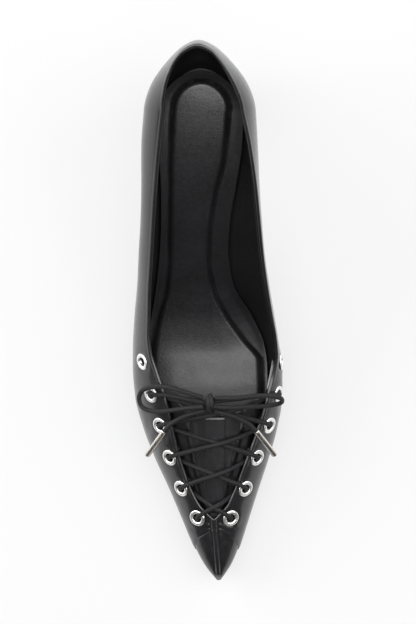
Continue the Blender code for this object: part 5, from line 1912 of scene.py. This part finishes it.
@dataclass
class Bottom:
    """Outsole, covered heel and top piece."""

    last: Last
    finishes: Finishes
    clearance: float = 0.3
    front: tuple[float, ...] = (0.0, 0.4, 1.0, 2.0, 3.2, 5.0, 7.0, 9.5, 12.0, 15.0)
    sole_profile: tuple[Triple, ...] = (
        (1.0, 1.0, 0.0), (0.5, 1.0, 0.0), (0.0, 1.0, 0.3), (0.0, 1.0, 0.35), (0.0, 0.8, 0.5),
        (0.0, 0.45, 0.42), (0.0, 0.2, 0.15), (0.0, 0.06, -0.2), (0.0, 0.0, -0.7), (0.5, 0.0, 0.0),
        (1.0, 0.0, 0.0),
    )
    seat: tuple[float, ...] = (205.0, 246.4, 20.4)
    foot: float = 3.9
    rows: tuple[tuple[float, ...], ...] = (
        (3.9, 229.6, 242.8, 6.5, 0.0), (16.0, 228.6, 243.0, 7.3, 0.0), (29.0, 226.2, 243.8, 8.8, 0.0),
        (41.0, 221.5, 245.0, 11.4, 0.08), (50.5, 215.0, 246.0, 14.8, 0.18),
        (57.5, 208.5, 246.4, 18.4, 0.24),
    )
    top_piece_rows: tuple[Triple, ...] = (
        (0.0, 0.3, 0.0), (1.0, 0.35, 0.0), (1.0, 0.1, 0.15), (1.0, 0.0, 0.45),
        (1.0, 0.0, 3.2), (1.0, 0.1, 3.5), (1.0, 0.25, 3.6), (0.0, 0.3, 3.6),
    )

    def __post_init__(self) -> None:
        """Read the heel's table."""
        self.breast, self.back, self.half, self.slope = profiles(self.rows)

    def build(self) -> None:
        """Build the three pieces."""
        self.build_outsole()
        self.build_heel()
        self.build_top_piece()

    @staticmethod
    def wrap(name: str, rings: Sequence[Sequence[Sequence[float]]]) -> Piece:
        """Return a closed piece from rings of points in millimetres."""
        maker = MeshMaker()
        maker.sheet(rings)
        return maker.finish(name)

    def build_outsole(self) -> None:
        """Build the outsole with a rounded lower edge."""
        sides = [*self.front, *np.arange(18.0, HEEL_CENTRE + 0.1, 2.07)[:-1], HEEL_CENTRE]
        rings = []
        for column in columns_round(sides, 40, 86):
            thick = self.last.sole_thickness.at(self.last.lean_foot.at(column.wide)) - self.clearance
            ring = []
            for inward, level, out in self.sole_profile:
                middle, edge = self.last.spoke(column, out)
                spot = edge.lerp(middle, inward)
                ring.append((spot.x, spot.y, self.last.tread.at(spot.y) + thick * level))
            rings.append(ring)
        outsole = self.wrap("outsole_dressed", [*rings, rings[0]])
        dress(outsole, self.finishes.sole, Slot.SOLE, "outsole")

    @staticmethod
    def ring(front: float, back: float, half: float, share: float, sides: int = 72) -> list[Pair]:
        """Return one outline of the heel, round behind and flatter at the breast.

        Args:
            front: station of the breast.
            back: station of the back.
            half: half of the width.
            share: size of the outline, 1 is full and 0 a point.
            sides: how many sides it has.

        Returns:
            The corners, as x and station.
        """
        middle, depth = (front + back) / 2, (back - front) / 2
        spots = []
        for k in range(sides + 1):
            turn = 2 * math.pi * k / sides
            along = math.cos(turn)
            along = along if along >= 0 else -abs(along) ** 0.6
            spots.append((share * half * math.sin(turn), middle + share * depth * along))
        return spots

    def waist(self, height: float, tuck: float) -> Triple:
        """Return the breast, the back and half the width of the heel, drawn in by a tuck."""
        return self.breast.at(height) + tuck, self.back.at(height) - tuck, self.half.at(height) - tuck

    def build_heel(self) -> None:
        """Build the covered heel."""
        rings = []
        for share in (0.0, 0.5, 0.85, 1.0):
            outline = self.ring(*self.seat, share)
            rings.append([(x, y, self.last.tread.at(y) - self.clearance) for x, y in outline])
        top = self.rows[-1][0]
        for height in [top - 1.5 * k for k in range(36)] + [self.foot + 0.25, self.foot]:
            here = self.waist(height, 0.25 * ease(self.foot + 0.4 - height, 0.0, 0.4))
            middle, slope = (here[0] + here[1]) / 2, self.slope.at(height)
            rings.append([(x, y, height + slope * (y - middle)) for x, y in self.ring(*here, 1.0)])
        rings.append([(x, y, self.foot) for x, y in self.ring(*self.waist(self.foot, 0.0), 0.0)])
        dress(self.wrap("covered_heel", rings), self.finishes.heel, Slot.HEEL, "heel")

    def build_top_piece(self) -> None:
        """Build the rubber that the heel stands on."""
        rings = []
        for share, tuck, height in self.top_piece_rows:
            outline = self.ring(*self.waist(self.foot, tuck), share)
            rings.append([(x, y, height) for x, y in outline])
        top_piece = self.wrap("top_piece_dressed", rings)
        dress(top_piece, self.finishes.rubber, Slot.TOP_PIECE, "heel_tip")


class Repeat:
    """A shape that Geometry Nodes stands on many points."""

    def __init__(self, name: str, sizes: dict[str, float]) -> None:
        """Start the tree.

        Args:
            name: name of the piece that it makes.
            sizes: the value, in millimetres, of each named input of the tree.
        """
        self.name = name
        self.sizes = sizes
        tree = bpy.data.node_groups.new(name, "GeometryNodeTree")
        tree.interface.new_socket("Geometry", in_out="INPUT", socket_type="NodeSocketGeometry")
        for label in sizes:
            tree.interface.new_socket(label, in_out="INPUT", socket_type="NodeSocketFloat")
        tree.interface.new_socket("Geometry", in_out="OUTPUT", socket_type="NodeSocketGeometry")
        self.sketch = Sketch(tree)
        self.given = self.sketch.node("NodeGroupInput").outputs

    def circle(self, size: str, sides: int) -> Socket:
        """Return a circle with the radius of a named size."""
        values = {"Resolution": sides, "Radius": self.given[size]}
        return self.sketch.node("GeometryNodeCurvePrimitiveCircle", values).outputs[0]

    def sweep(self, line: Socket, section: Socket) -> Socket:
        """Return the surface that a section makes along a line."""
        values = {"Curve": line, "Profile Curve": section}
        return self.sketch.node("GeometryNodeCurveToMesh", values).outputs[0]

    def finish(self, shape: Socket, axis: str, material: Material) -> None:
        """End the tree.

        Args:
            shape: what stands on each point.
            axis: the axis of the shape that follows the point's direction.
            material: its material.
        """
        node = self.sketch.node
        way = node("GeometryNodeInputNamedAttribute", {"Name": "direction"}, data_type="FLOAT_VECTOR")
        turn = node("FunctionNodeAlignRotationToVector", {"Vector": way.outputs[0]}, axis=axis)
        copies = node("GeometryNodeInstanceOnPoints", {
            "Points": self.given["Geometry"], "Instance": shape, "Rotation": turn.outputs[0],
        })
        real = node("GeometryNodeRealizeInstances", {0: copies.outputs[0]})
        smooth = node("GeometryNodeSetShadeSmooth", {0: real.outputs[0]})
        dressed = node("GeometryNodeSetMaterial", {"Geometry": smooth.outputs[0], "Material": material})
        self.sketch.put(node("NodeGroupOutput").inputs[0], dressed.outputs[0])

    def build(self, places: Sequence[Vector], directions: Sequence[Vector]) -> Piece:
        """Run the tree.

        Args:
            places: the points in metres.
            directions: the direction of each.

        Returns:
            The plain mesh.
        """
        mesh = bpy.data.meshes.new(f"{self.name}_points")
        mesh.from_pydata([tuple(place) for place in places], [], [])
        store = mesh.attributes.new("direction", "FLOAT_VECTOR", "POINT")
        store.data.foreach_set("vector", [part for way in directions for part in way])
        points = in_scene(mesh.name, mesh)
        modifier = points.modifiers.new(self.name, "NODES")
        modifier.node_group = self.sketch.tree
        for item in self.sketch.tree.interface.items_tree:
            if item.name in self.sizes:
                modifier[item.identifier] = self.sizes[item.name] * MM
        return baked(points, self.name)


@dataclass
class Eyelets:
    """Twelve domed rings with their barrels."""

    last: Last
    finishes: Finishes
    ring_radius: float = 3.12
    ring_width: float = 0.88
    ring_height: float = 0.42
    barrel_radius: float = 2.35
    barrel_depth: float = 1.3
    barrel_drop: float = 0.45
    barrel_wall: float = 0.3
    lift: float = 0.02

    def repeat(self) -> Repeat:
        """Return the tree that stands a ring on each point.

        Returns:
            The tree.
        """
        made = Repeat("eyelet_rings", {
            "Ring Radius": self.ring_radius, "Ring Width": self.ring_width, "Ring Height": self.ring_height,
            "Barrel Radius": self.barrel_radius, "Barrel Depth": self.barrel_depth,
        })
        sketch, given = made.sketch, made.given
        ring = made.sweep(made.circle("Ring Radius", 40), made.circle("Ring Width", 14))
        flat = sketch.math("DIVIDE", given["Ring Height"], given["Ring Width"])
        scale = sketch.node("ShaderNodeCombineXYZ", {0: 1.0, 1: 1.0, 2: flat}).outputs[0]
        pressed = sketch.node("GeometryNodeTransform", {"Geometry": ring, "Scale": scale})
        size = {0: self.barrel_wall * MM, 1: given["Barrel Depth"]}
        wall = sketch.node("GeometryNodeCurvePrimitiveQuadrilateral", size).outputs[0]
        barrel = made.sweep(made.circle("Barrel Radius", 40), wall)
        depth = sketch.times(given["Barrel Depth"], -self.barrel_drop)
        drop = sketch.node("ShaderNodeCombineXYZ", {2: depth}).outputs[0]
        sunk = sketch.node("GeometryNodeTransform", {"Geometry": barrel, "Translation": drop})
        both = sketch.node("GeometryNodeJoinGeometry", {0: pressed.outputs[0]})
        sketch.put(both.inputs[0], sunk.outputs[0])
        made.finish(both.outputs[0], "Z", self.finishes.eyelet)
        return made

    def build(self) -> None:
        """Stand the rings in their holes."""
        seats = self.last.eyelet_seats()
        places = [metres(place + normal * self.lift) for _, _, place, normal in seats]
        rings = self.repeat().build(places, [Vector(normal) for _, _, _, normal in seats])
        rings.data.set_sharp_from_angle(angle=math.radians(50))
        nodes = [f"eyelet_{side.name.lower()}_{row.name}" for side, row, _, _ in seats]
        dress(rings, self.finishes.eyelet, Slot.EYELET, *nodes)


@dataclass
class Stitching:
    """The row of fine stitches that holds the lining, just inside the folded edge."""

    last: Last
    finishes: Finishes
    inset: float = 2.7
    depth: float = 2.38
    pitch: float = 2.0
    start: float = 114.0
    stitch_length: float = 1.35
    thread: float = 0.16

    def repeat(self) -> Repeat:
        """Return the tree that lays a stitch on each point along its direction.

        Returns:
            The tree.
        """
        made = Repeat("edge_stitches", {"Stitch Length": self.stitch_length, "Thread Radius": self.thread})
        sketch, radius = made.sketch, made.given["Thread Radius"]
        ball = sketch.node("GeometryNodeMeshUVSphere", {"Segments": 8, "Rings": 6, "Radius": radius})
        long = sketch.math("DIVIDE", sketch.times(made.given["Stitch Length"], 0.5), radius)
        scale = sketch.node("ShaderNodeCombineXYZ", {0: long, 1: 1.0, 2: 1.0}).outputs[0]
        stretched = sketch.node("GeometryNodeTransform", {"Geometry": ball.outputs[0], "Scale": scale})
        made.finish(stretched.outputs[0], "X", self.finishes.thread)
        return made

    def build(self) -> None:
        """Lay the stitches along a line just inside the edge."""
        columns = columns_round(np.arange(self.start, HEEL_CENTRE, 1.5), 61, 90)
        grid = SkinGrid(self.last, columns, (0.0, self.inset), 4)
        line = smooth_route(grid.at_depth(self.depth)[:, 1], self.pitch)
        ways = [(after - before).normalized() for before, after in zip(line, line[1:])]
        stitches = self.repeat().build([metres(place) for place in line[:-1]], ways)
        dress(stitches, self.finishes.thread, Slot.UPPER)


def main() -> None:
    """Build the shoe piece by piece and report each one."""
    logging.basicConfig(level=logging.INFO, format="%(name)s: %(message)s")
    last = Last()
    finishes = Finishes()
    Studio().build()
    bow = Bow(finishes)
    bow.build()
    Lacing(last, finishes, bow.knot).build()
    Upper(last, finishes).build()
    UnderPanel(last, finishes).build()
    Sock(last, finishes).build()
    Bottom(last, finishes).build()
    Eyelets(last, finishes).build()
    Stitching(last, finishes).build()


if __name__ == "__main__":
    main()
